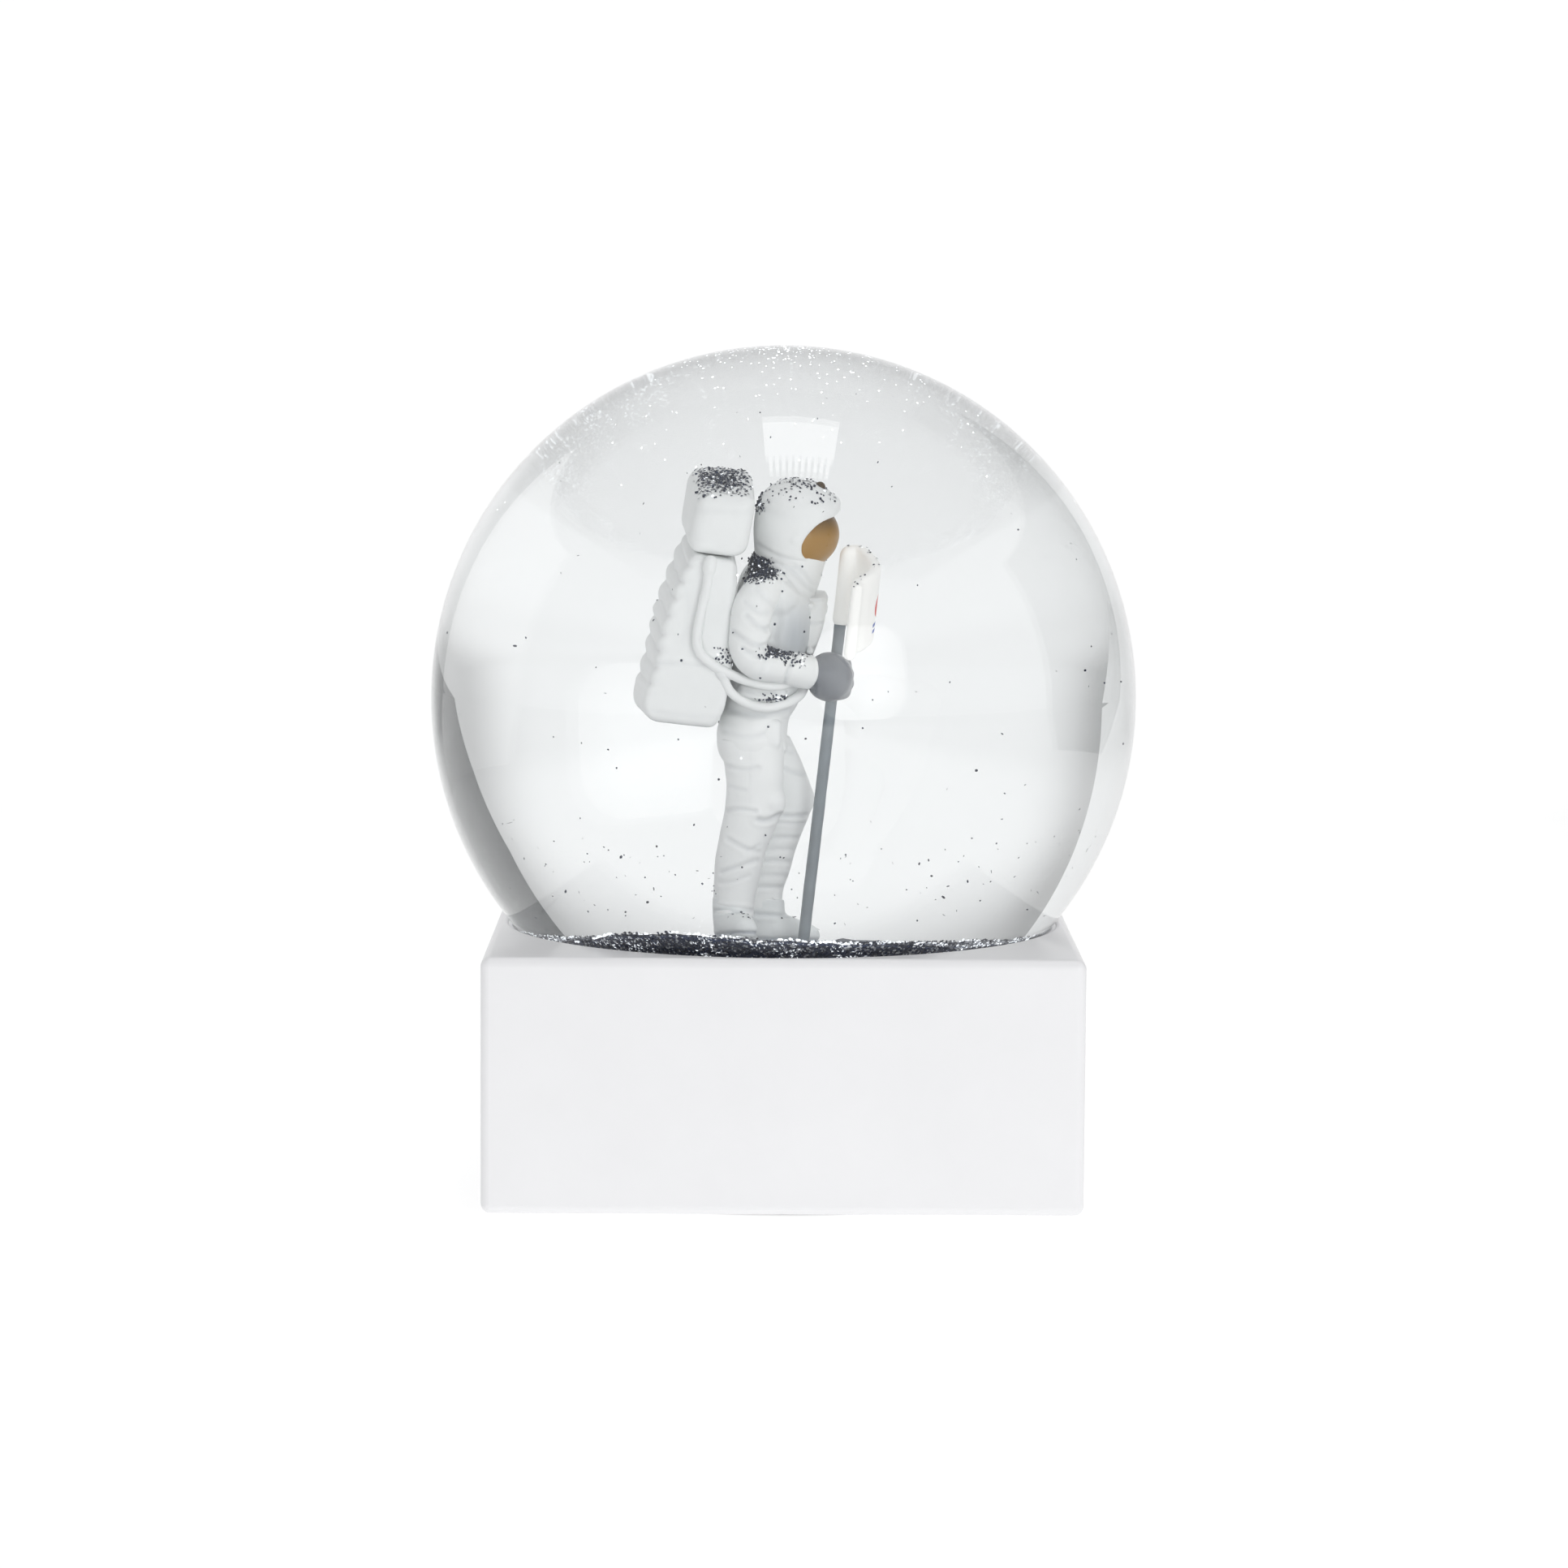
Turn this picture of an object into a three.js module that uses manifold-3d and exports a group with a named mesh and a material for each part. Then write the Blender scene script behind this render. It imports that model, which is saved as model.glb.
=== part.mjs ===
// A water-filled snow globe: a glass ball with a short neck, closed by a rubber stopper that
// carries a moon-ground plate and a cast astronaut with a flag, set into a hollow square base.
//
// Millimetres, +Z up. The origin is the middle of the underside, on the surface the globe
// stands on. The astronaut faces +X, and the flat side of the base at -Y is the front.
import * as THREE from "three";
import { mergeVertices } from "three/addons/utils/BufferGeometryUtils.js";
import Module from "manifold-3d";

const wasm = await Module();
wasm.setup();

// ---------------------------------------------------------------- driving dimensions
const BALL_R = 60; // outside radius of the glass ball
const GLASS_WALL = 2.5;
const NECK_R = 38; // outside radius of the ball's neck
const NECK_DROP = 10; // from where the neck leaves the ball down to its lip
const LIP_PROUD = 2; // how far the lip stands out from the neck
const LIP_H = 3;
const LIP_EDGE = 0.6; // bevel of the lip

const BASE_W = 98; // side of the square base
const BASE_H = 42; // height of the base block alone
const BASE_EDGE_R = 1.6; // rounding of the block's outside edges
const DECK_T = 14; // thickness of the block's top, which the ball sits in
const WELL_R = 46.4; // radius of the ball where it enters the top of the base
const LIP_PASS = 1.5; // room for the lip in the bore through the deck
const CAVITY_STEP = 2; // how much wider the hollow under the deck is than that bore

const PAD_PROUD = 0.5; // how far the pad lifts the block off the table
const PAD_T = 1.5;
const DISC_EDGE = 0.4; // bevel round the underside of the cover and of the pad
const COVER_T = 2.5;
const COVER_WALL = 3; // least wall of the block round the cover
const PAD_INSET = 0.5; // how much smaller the pad's radius is than the cover's
const COVER_LEDGE = 2.5; // depth of the rebate above the pad that takes the cover

const STOPPER_TOP_T = 6;
const STOPPER_WALL = 7;
const STOPPER_PLUG_H = 13; // part of the stopper that stands inside the neck
const STOPPER_FLANGE_H = 3.5;
const STOPPER_EDGE = 1;
const SEAL_FOOT = 1.2; // from the lip up to the seal
const SEAL_HEAD = 0.8; // from the seal up to the ball

const GROUND_PASS = 1; // room between the moon-ground plate and the neck it passes through
const GROUND_T = 8.7;
const GROUND_FOOT_EDGE = 0.8;
const GROUND_RIM_IN = 1.5; // bevel of the plate's upper edge, inwards
const GROUND_RIM_DOWN = 1.2; // and downwards
const MOUND_H = 2.1; // rise of the plate's middle above its rim
const CROWN_R = 0.42; // share of the plate's radius that is level
const SLOPE_R = 0.62; // share of it at which the slope changes
const SLOPE_RISE = 0.45; // share of the rise reached there
const SPIGOT_R = 9;
const SPIGOT_H = 3;

const BED_EDGE_DROP = 1.4; // fall of the glitter from the plate's rim to the glass
const BED_TOP_DROP = 0.6; // and to its highest ring
const BED_LIP_DROP = 1.4; // and to where it meets the plate
const BED_FLOOR = 1; // height of the glitter's underside above the stopper
const LIQUID_FLOOR = 1.4; // and of the liquid's, inside the glitter and the plate

const FIGURE_DRAWN_H = 60.7; // sole to crown of the figure as its sections are listed
const FIGURE_H = 60.7; // sole to crown of the figure as it is cast
const FIGURE_SPLAY = 62; // degrees that the right foot turns out
const POLE_R = 0.75;
const POLE_SINK = 3; // depth of the pole's hole in the ground
const FLAG_T = 1.6;
const FLAG_H = 10.4;
const FLAG_RISE = 0.5; // height of the flag's top above the pole's end
const FLAG_STEPS = 16;
const FLAG_DROOP = 0.19; // fall of the flag's edges for each millimetre towards its free end
const HOSE_R = 0.62;
const HOSE_STEPS = 15;
const HOSE_SIDES = 8;

const CLEAR = 0.3; // gap between pieces that touch
const ROOM_CLEAR = 2; // gap that the liquid leaves round the packs and the pole
const FLAG_ROOM_CLEAR = 0.6; // and round the flag, whose folds are tight
const ROUND = 40; // sides of the large round pieces
const BALL_STEPS = 14; // rings of facets from the ball's neck to its crown
const LIMB_SIDES = 12;
const POLE_SIDES = 10;
const ROOM_SIDES = 20; // sides of the plain space that the liquid leaves for the figure

// ---------------------------------------------------------------- heights that follow from them
const BLOCK_Z = PAD_PROUD;
const TOP_Z = BLOCK_Z + BASE_H;
const BALL_Z = TOP_Z + Math.sqrt(BALL_R ** 2 - WELL_R ** 2);
const INNER_R = BALL_R - GLASS_WALL;
const NECK_INNER_R = NECK_R - GLASS_WALL;
const LIP_R = NECK_R + LIP_PROUD;
const BORE_R = LIP_R + LIP_PASS;
const CAVITY_R = BORE_R + CAVITY_STEP;
const COVER_R = BASE_W / 2 - COVER_WALL;
const GROUND_R = NECK_INNER_R - GROUND_PASS;
const NECK_Z = BALL_Z - Math.sqrt(BALL_R ** 2 - NECK_R ** 2);
const LIP_Z = NECK_Z - NECK_DROP;
const STOPPER_R = NECK_INNER_R - CLEAR;
const STOPPER_TOP_Z = LIP_Z + STOPPER_PLUG_H;
const FLANGE_TOP_Z = LIP_Z - CLEAR;
const GROUND_Z = STOPPER_TOP_Z + CLEAR;
const RIM_Z = GROUND_Z + GROUND_T;
const SOLE_Z = RIM_Z + MOUND_H;
const FIGURE_SCALE = FIGURE_H / FIGURE_DRAWN_H;

// ---------------------------------------------------------------- solids
function solidOf(geometry) {
  const bare = new THREE.BufferGeometry();
  const source = geometry.index ? geometry.toNonIndexed() : geometry;
  bare.setAttribute("position", source.getAttribute("position").clone());
  const merged = mergeVertices(bare, 1e-4);
  return new wasm.Manifold(
    new wasm.Mesh({
      numProp: 3,
      vertProperties: merged.attributes.position.array,
      triVerts: new Uint32Array(merged.index.array),
    }),
  );
}

function geometryOf(solid) {
  const mesh = solid.getMesh();
  const geometry = new THREE.BufferGeometry();
  geometry.setAttribute("position", new THREE.BufferAttribute(mesh.vertProperties, 3));
  geometry.setIndex(new THREE.BufferAttribute(mesh.triVerts, 1));
  const flat = geometry.toNonIndexed();
  flat.computeVertexNormals();
  return flat;
}

function cut(geometry, tools) {
  return geometryOf(tools.reduce((left, tool) => left.subtract(solidOf(tool)), solidOf(geometry)));
}

function join(geometries) {
  return geometryOf(geometries.map((g) => solidOf(g)).reduce((all, next) => all.add(next)));
}

// ---------------------------------------------------------------- shapes
// A closed profile of [radius, z] points turned about Z. It runs upwards on its outside.
function turned(profile, sides = ROUND) {
  const points = profile.map(([r, z]) => new THREE.Vector2(r, z));
  return new THREE.LatheGeometry(points, sides).rotateX(Math.PI / 2);
}

// [radius, z] points on a sphere between two polar angles, 0 at its top and PI at its foot.
function arc(radius, centreZ, from, to, steps) {
  return Array.from({ length: steps + 1 }, (_, i) => {
    const angle = from + ((to - from) * i) / steps;
    return [Math.abs(radius * Math.sin(angle)), centreZ + radius * Math.cos(angle)];
  });
}

// The polar angle at which a sphere of this radius is r wide, on its lower half.
function polarAt(radius, r) {
  return Math.PI - Math.asin(r / radius);
}

// A skin over rings of points. Each section is {at, u, v, a, b, power}: an oval of half-widths
// a along u and b along v, squarer as power grows.
function skin(sections, sides) {
  const corners = [];
  for (const { at, u, v, a, b, power = 2 } of sections) {
    for (let i = 0; i < sides; i += 1) {
      const angle = (2 * Math.PI * (i + 0.5)) / sides;
      const c = Math.cos(angle);
      const s = Math.sin(angle);
      const across = Math.sign(c) * Math.abs(c) ** (2 / power) * a;
      const along = Math.sign(s) * Math.abs(s) ** (2 / power) * b;
      corners.push(at.clone().addScaledVector(u, across).addScaledVector(v, along));
    }
  }
  const first = corners.length;
  corners.push(sections[0].at, sections[sections.length - 1].at);
  const faces = [];
  for (let i = 0; i < sides; i += 1) {
    const next = (i + 1) % sides;
    for (let row = 0; row < sections.length - 1; row += 1) {
      const low = row * sides;
      const high = low + sides;
      faces.push(low + i, low + next, high + next, low + i, high + next, high + i);
    }
    const last = (sections.length - 1) * sides;
    faces.push(first, next, i, first + 1, last + i, last + next);
  }
  const geometry = new THREE.BufferGeometry().setFromPoints(corners);
  geometry.setIndex(faces);
  return geometry.toNonIndexed();
}

// An upright body through [x, y, z, half-width in x, half-width in y] sections, from below.
function upright(rows, grow = 0, sides = LIMB_SIDES, power = 2.2) {
  const u = new THREE.Vector3(1, 0, 0);
  const v = new THREE.Vector3(0, 1, 0);
  const last = rows.length - 1;
  return skin(
    rows.map(([x, y, z, a, b], i) => {
      const lift = i === 0 ? -grow : i === last ? grow : 0;
      return { at: new THREE.Vector3(x, y, z + lift), u, v, a: a + grow, b: b + grow, power };
    }),
    sides,
  );
}

// A limb along [x, y, z, radius] joints, its sections square to its run.
function limb(joints, grow = 0, sides = LIMB_SIDES) {
  const points = joints.map(([x, y, z]) => new THREE.Vector3(x, y, z));
  const last = joints.length - 1;
  return skin(
    joints.map(([, , , radius], i) => {
      const before = points[Math.max(i - 1, 0)];
      const after = points[Math.min(i + 1, last)];
      const run = after.clone().sub(before).normalize();
      const side = Math.abs(run.y) > 0.9 ? new THREE.Vector3(1, 0, 0) : new THREE.Vector3(0, 1, 0);
      const u = side.clone().cross(run).normalize();
      const v = run.clone().cross(u);
      const push = i === 0 ? -grow : i === last ? grow : 0;
      const at = points[i].clone().addScaledVector(run, push);
      return { at, u, v, a: radius + grow, b: radius + grow };
    }),
    sides,
  );
}

function ellipsoid([x, y, z], [a, b, c], tilt = 0, grow = 0, sides = LIMB_SIDES) {
  return new THREE.SphereGeometry(1, sides, sides * 0.75)
    .scale(a + grow, c + grow, b + grow)
    .rotateX(Math.PI / 2)
    .rotateY(tilt)
    .translate(x, y, z);
}

// A block with bevelled edges: an outline of [x, z] points, half as wide as half to each side.
function slab(outline, half, edge, grow = 0) {
  const shape = new THREE.Shape(outline.map(([x, z]) => new THREE.Vector2(x, z)));
  const depth = 2 * (half - edge);
  return new THREE.ExtrudeGeometry(shape, {
    depth,
    bevelEnabled: true,
    bevelThickness: edge + grow,
    bevelSize: edge + grow,
    bevelOffset: -edge,
    bevelSegments: 1,
  })
    .translate(0, 0, -depth / 2)
    .rotateX(Math.PI / 2);
}

function roundedSquare(side, radius) {
  const h = side / 2;
  const corner = h - radius;
  const shape = new THREE.Shape();
  shape.absarc(corner, corner, radius, 0, Math.PI / 2);
  shape.absarc(-corner, corner, radius, Math.PI / 2, Math.PI);
  shape.absarc(-corner, -corner, radius, Math.PI, 1.5 * Math.PI);
  shape.absarc(corner, -corner, radius, 1.5 * Math.PI, 2 * Math.PI);
  return shape;
}

// ---------------------------------------------------------------- glass, liquid and closure
function glassBall() {
  const outer = arc(BALL_R, BALL_Z, polarAt(BALL_R, NECK_R), 0, BALL_STEPS);
  const inner = arc(INNER_R, BALL_Z, 0, polarAt(INNER_R, NECK_INNER_R), BALL_STEPS);
  return turned([
    [NECK_INNER_R, LIP_Z],
    [LIP_R - LIP_EDGE, LIP_Z],
    [LIP_R, LIP_Z + LIP_EDGE],
    [LIP_R, LIP_Z + LIP_H - LIP_EDGE],
    [NECK_R, LIP_Z + LIP_H + LIP_EDGE],
    ...outer,
    ...inner,
    [NECK_INNER_R, LIP_Z],
  ]);
}

function stopper() {
  const hollow = STOPPER_R - STOPPER_WALL;
  const low = FLANGE_TOP_Z - STOPPER_FLANGE_H;
  const body = turned([
    [0, STOPPER_TOP_Z - STOPPER_TOP_T],
    [hollow, STOPPER_TOP_Z - STOPPER_TOP_T],
    [hollow, low],
    [LIP_R, low],
    [LIP_R, FLANGE_TOP_Z],
    [STOPPER_R, FLANGE_TOP_Z],
    [STOPPER_R, STOPPER_TOP_Z - STOPPER_EDGE],
    [STOPPER_R - STOPPER_EDGE, STOPPER_TOP_Z],
    [0, STOPPER_TOP_Z],
  ]);
  const socket = turned([
    [0, STOPPER_TOP_Z - SPIGOT_H - CLEAR],
    [SPIGOT_R + CLEAR, STOPPER_TOP_Z - SPIGOT_H - CLEAR],
    [SPIGOT_R + CLEAR, STOPPER_TOP_Z + 1],
    [0, STOPPER_TOP_Z + 1],
  ], ROUND / 2);
  return cut(body, [socket]);
}

function sealRing() {
  const low = LIP_Z + LIP_H + SEAL_FOOT;
  const high = NECK_Z - SEAL_HEAD;
  return turned([
    [NECK_R + CLEAR, low],
    [BORE_R - CLEAR, low],
    [BORE_R - CLEAR, high],
    [NECK_R + CLEAR, high],
    [NECK_R + CLEAR, low],
  ]);
}

function groundPlate() {
  const body = turned([
    [0, GROUND_Z],
    [GROUND_R - GROUND_FOOT_EDGE, GROUND_Z],
    [GROUND_R, GROUND_Z + GROUND_FOOT_EDGE],
    [GROUND_R, RIM_Z - GROUND_RIM_DOWN],
    [GROUND_R - GROUND_RIM_IN, RIM_Z],
    [GROUND_R * SLOPE_R, RIM_Z + MOUND_H * SLOPE_RISE],
    [GROUND_R * CROWN_R, SOLE_Z],
    [0, SOLE_Z],
  ]);
  const spigot = turned([
    [0, GROUND_Z - SPIGOT_H],
    [SPIGOT_R, GROUND_Z - SPIGOT_H],
    [SPIGOT_R, GROUND_Z + 1],
    [0, GROUND_Z + 1],
  ], ROUND / 2);
  return cut(join([body, spigot]), [poleShape(CLEAR).applyMatrix4(figureMatrix())]);
}

// Glitter that has settled between the plate and the glass, up to the plate's rim.
function glitterBed(grow = 0) {
  const wall = INNER_R - CLEAR + grow;
  const edgeZ = RIM_Z - BED_EDGE_DROP;
  const floorZ = STOPPER_TOP_Z + BED_FLOOR;
  const edgeAngle = Math.acos((edgeZ - BALL_Z) / wall);
  const floorAngle = Math.acos((floorZ - BALL_Z) / wall);
  const inside = GROUND_R + CLEAR - grow;
  return turned([
    [inside, floorZ],
    ...arc(wall, BALL_Z, floorAngle, edgeAngle, 4),
    [inside + 2, RIM_Z - BED_TOP_DROP + grow],
    [inside, RIM_Z - BED_LIP_DROP + grow],
    [inside, floorZ],
  ]);
}

// ---------------------------------------------------------------- base
function baseBlock() {
  const depth = BASE_H - 2 * BASE_EDGE_R;
  const rebateZ = BLOCK_Z + PAD_T - PAD_PROUD + COVER_LEDGE + CLEAR;
  const block = new THREE.ExtrudeGeometry(roundedSquare(BASE_W - 2 * BASE_EDGE_R, BASE_EDGE_R), {
    depth,
    bevelEnabled: true,
    bevelThickness: BASE_EDGE_R,
    bevelSize: BASE_EDGE_R,
    bevelSegments: 3,
    curveSegments: 3,
  }).translate(0, 0, BLOCK_Z + BASE_EDGE_R);
  const seatR = BALL_R + CLEAR;
  const rimAngle = Math.acos((TOP_Z + 1 - BALL_Z) / seatR);
  const deckZ = TOP_Z - DECK_T;
  const well = turned([
    [0, BLOCK_Z - 1],
    [COVER_R + CLEAR, BLOCK_Z - 1],
    [COVER_R + CLEAR, rebateZ],
    [CAVITY_R, rebateZ],
    [CAVITY_R, deckZ - CAVITY_STEP],
    [BORE_R, deckZ],
    ...arc(seatR, BALL_Z, polarAt(seatR, BORE_R), rimAngle, 5),
    [0, TOP_Z + 1],
  ]);
  return cut(block, [well]);
}

function disc(radius, low, high) {
  return turned([
    [0, low],
    [radius - DISC_EDGE, low],
    [radius, low + DISC_EDGE],
    [radius, high],
    [0, high],
  ]);
}

// ---------------------------------------------------------------- figure
// Its own frame: origin on the ground under the body, X forwards, Y to its left, Z up.
const RIGHT = -1; // the figure's right side, at -Y
const LEFT = 1;

const TORSO = [
  [-2.4, 0, 31, 4.8, 6.2],
  [-2.3, 0, 34, 5.0, 6.7],
  [-1.5, 0, 39, 5.2, 7.2],
  [-1.1, 0, 44, 5.1, 7.4],
  [-1.0, 0, 47, 4.4, 6.4],
  [-0.4, 0, 48.7, 3.8, 4.4],
];
const HIPS = [
  [-3.6, 0, 24.8, 4.4, 6.7],
  [-3.7, 0, 27.5, 4.7, 7.0],
  [-2.8, 0, 30.7, 4.7, 6.3],
];
const HELMET = [
  [0.6, 0, 49.9, 4.4, 4.6],
  [1.0, 0, 51.4, 5.4, 5.6],
  [1.3, 0, 54.2, 5.7, 6.1],
  [1.7, 0, 57.2, 5.4, 5.8],
  [1.4, 0, 59.4, 3.9, 4.3],
  [1.2, 0, 60.4, 2.2, 2.4],
  [1.2, 0, 60.7, 0.8, 0.9],
];
const NECK_RING = [
  [0.1, 0, 49.0, 4.5, 4.9],
  [0.3, 0, 49.6, 4.5, 4.9],
];
const CHEST_PACK = [
  [3.3, 0, 37.6, 1.2, 3.4],
  [4.2, 0, 42.0, 1.3, 3.8],
  [4.3, 0, 45.3, 1.2, 3.8],
];
const RIGHT_LEG = [
  [-6.3, -3.7, 6.2, 2.6, 2.8],
  [-5.9, -3.7, 9, 3, 3],
  [-5.5, -3.7, 12, 3.2, 3.2],
  [-4.6, -3.7, 15.1, 3.5, 3.3],
  [-3.9, -3.7, 17.7, 3.7, 3.4],
  [-3.7, -3.7, 21, 3.7, 3.4],
  [-3.8, -3.6, 24.5, 3.9, 3.4],
];
const LEFT_LEG = [
  [-2.4, 3.9, 6.4, 2.4, 2.7],
  [-1.7, 3.9, 10, 2.7, 2.9],
  [-0.5, 3.9, 15, 3, 3.1],
  [0.5, 3.9, 19, 3.3, 3.3],
  [-0.4, 3.9, 22.4, 3.3, 3.3],
  [-1.8, 3.6, 25, 3.6, 3.4],
];
const RIGHT_ARM = [
  [-1.6, -5, 47, 2.6],
  [-3.2, -7.6, 46.5, 2.65],
  [-4.3, -9, 44.6, 2.75],
  [-4.6, -9.6, 41.8, 2.7],
  [-4.7, -9.8, 39.3, 2.55],
  [-3.5, -9.6, 37.6, 2.3],
  [-1.3, -8.8, 37, 2.15],
  [1.4, -7.6, 36.5, 2.05],
  [3, -6.7, 36.1, 1.95],
];
const LEFT_ARM = [
  [-1.6, 5, 47, 2.6],
  [-2.6, 7.8, 46.2, 2.7],
  [-3.2, 9.2, 44, 2.8],
  [-3.4, 9.9, 40.6, 2.75],
  [-3.3, 10, 37, 2.6],
  [-3, 10, 33, 2.4],
  [-2.7, 9.9, 30.2, 2.2],
];
const RIGHT_GLOVE = [
  [2.9, -6.4, 35.7, 1.8],
  [4.3, -5.3, 35.4, 2.7],
  [6.0, -3.9, 35.2, 3.0],
  [7.4, -2.7, 35.1, 2.7],
  [8.4, -1.8, 35.0, 1.6],
];
const LEFT_GLOVE = [
  [-2.6, 9.9, 29.2, 1.7],
  [-2.5, 9.9, 27.4, 2.2],
  [-2.4, 9.8, 25.2, 2.1],
  [-2.3, 9.7, 23.6, 1.2],
];
const LIFE_PACK = [
  [-6.3, 50.9],
  [-12.4, 52.2],
  [-14.4, 47.5],
  [-16.2, 42],
  [-17.4, 36],
  [-18.7, 32.4],
  [-18.6, 30.7],
  [-17.4, 29.5],
  [-9.2, 28.7],
  [-7.8, 31],
  [-6.9, 36],
];
const OXYGEN_PACK = [
  [-5.2, 51.4],
  [-3.7, 60.1],
  [-11.9, 60.6],
  [-13.2, 52.4],
];
const PACK_HALF_W = 9;
const PACK_EDGE = 0.8;
const VISOR_AT = [4.1, 0, 53.1];
const VISOR_SIZE = [3.2, 4.6, 2.9];
const VISOR_TILT = -0.5;
const FACE_OPENING = [5.6, 0, 52.4];
const FACE_OPENING_SIZE = [4.2, 5.0, 3.2];
const POLE_FOOT = [2.3, -2, 0];
const POLE_HEAD = [8.3, -1.2, 51.4];

// The hoses of one side, as centre lines. side is RIGHT or LEFT.
const UPPER_HOSE = [
  [-10, 9.9, 50.8],
  [-10.6, 9.9, 47],
  [-11.3, 9.9, 43.7],
  [-11.7, 9.9, 40.6],
  [-11, 9.9, 38.6],
  [-9.2, 9.6, 37.1],
  [-7.2, 9.1, 36],
  [-4.5, 8.3, 34.9],
  [-1.4, 7.6, 34.3],
  [1.2, 6.2, 34.9],
  [3.4, 4, 36.4],
];
const LOWER_HOSE = [
  [-8.3, 8.9, 36.4],
  [-7.8, 8.7, 34.9],
  [-6.8, 8.4, 33.3],
  [-4.6, 7.9, 31.9],
  [-2.1, 7.2, 31.4],
  [0.3, 6.3, 31.9],
  [2, 5, 32.8],
  [2.7, 3.4, 34],
];

function boot([centreX, centreY], turn, grow, sides) {
  const ahead = new THREE.Vector3(Math.cos(turn), Math.sin(turn), 0);
  const along = (far, z, radius) => [centreX + ahead.x * far, centreY + ahead.y * far, z, radius];
  const foot = limb([
    along(-2.4, 1.9, 1.1),
    along(-1.7, 2.1, 2.1),
    along(0.8, 2.35, 2.3),
    along(3.6, 1.8, 2.1),
    along(5.6, 1.6, 1.7),
    along(6.4, 1.5, 0.8),
  ], grow, sides);
  const shaft = upright([
    [centreX, centreY, 1.5, 2.1, 2.1],
    [centreX, centreY, 4, 2.3, 2.4],
    [centreX, centreY, 6.1, 2.4, 2.6],
  ], grow, sides);
  return join([foot, shaft]);
}

function poleShape(grow = 0, sides = POLE_SIDES) {
  const foot = new THREE.Vector3(...POLE_FOOT);
  const head = new THREE.Vector3(...POLE_HEAD);
  const run = head.clone().sub(foot).normalize();
  const base = foot.addScaledVector(run, -POLE_SINK);
  return limb([
    [...base.toArray(), POLE_R],
    [...head.toArray(), POLE_R],
  ], grow, sides);
}

// The flag's outline from above: a ribbon that leaves the pole, swings out and folds back.
function flagShape(grow = 0) {
  const [x, y, z] = POLE_HEAD;
  const wave = new THREE.CatmullRomCurve3(
    [[-0.8, -0.2], [1.2, 0.5], [3.0, -3.0], [3.8, -7.2], [2.9, -10.4], [1.9, -12.6], [2.1, -15]].map(
      ([dx, dy]) => new THREE.Vector3(x + dx, y + dy, 0),
    ),
  );
  const half = FLAG_T / 2 + grow;
  const edge = (side) =>
    wave.getPoints(FLAG_STEPS).map((spot, i) => {
      const run = wave.getTangent(i / FLAG_STEPS);
      return new THREE.Vector2(spot.x - side * run.y * half, spot.y + side * run.x * half);
    });
  const outline = new THREE.Shape([...edge(1), ...edge(-1).reverse()]);
  const droop = new THREE.Matrix4().makeShear(0, 0, 0, FLAG_DROOP, 0, 0);
  return new THREE.ExtrudeGeometry(outline, { depth: FLAG_H + 2 * grow, bevelEnabled: false })
    .translate(0, -y, z - FLAG_H + FLAG_RISE - grow)
    .applyMatrix4(droop)
    .translate(0, y, 0);
}

function hose(points, side, grow = 0) {
  const line = new THREE.CatmullRomCurve3(points.map(([x, y, z]) => new THREE.Vector3(x, side * y, z)));
  const section = new THREE.Shape();
  section.absarc(0, 0, HOSE_R + grow, 0, 2 * Math.PI);
  return new THREE.ExtrudeGeometry(section, {
    steps: HOSE_STEPS,
    curveSegments: HOSE_SIDES / 2,
    extrudePath: line,
    bevelEnabled: false,
  });
}

function packSlab(outline, grow) {
  return slab(outline, PACK_HALF_W, PACK_EDGE, grow);
}

// Each piece of the figure in the order of fitting: a later piece is cut back, by the
// clearance, from the earlier ones that it meets. shape(grow) gives it larger by grow.
const LEG_ROOM = [
  [-1.4, -1.0, -2, 9.8, 10.4],
  [-1.4, -0.4, 26, 9.8, 9.6],
];
const BODY_ROOM = [
  [0, 0, 21, 8.4, 14],
  [0.6, 0, 30, 10.8, 14],
  [0.6, 0, 40, 10.4, 14],
  [-0.6, 0, 50.5, 9.4, 12],
];
const HEAD_ROOM = [
  [1.0, 0, 49, 7.6, 7.6],
  [1.0, 0, 62, 7.6, 7.6],
];
const ROOM_SQUARENESS = 4;
const RIGHT_TURN = THREE.MathUtils.degToRad(-FIGURE_SPLAY);
const CHEST_SQUARENESS = 5;
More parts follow.
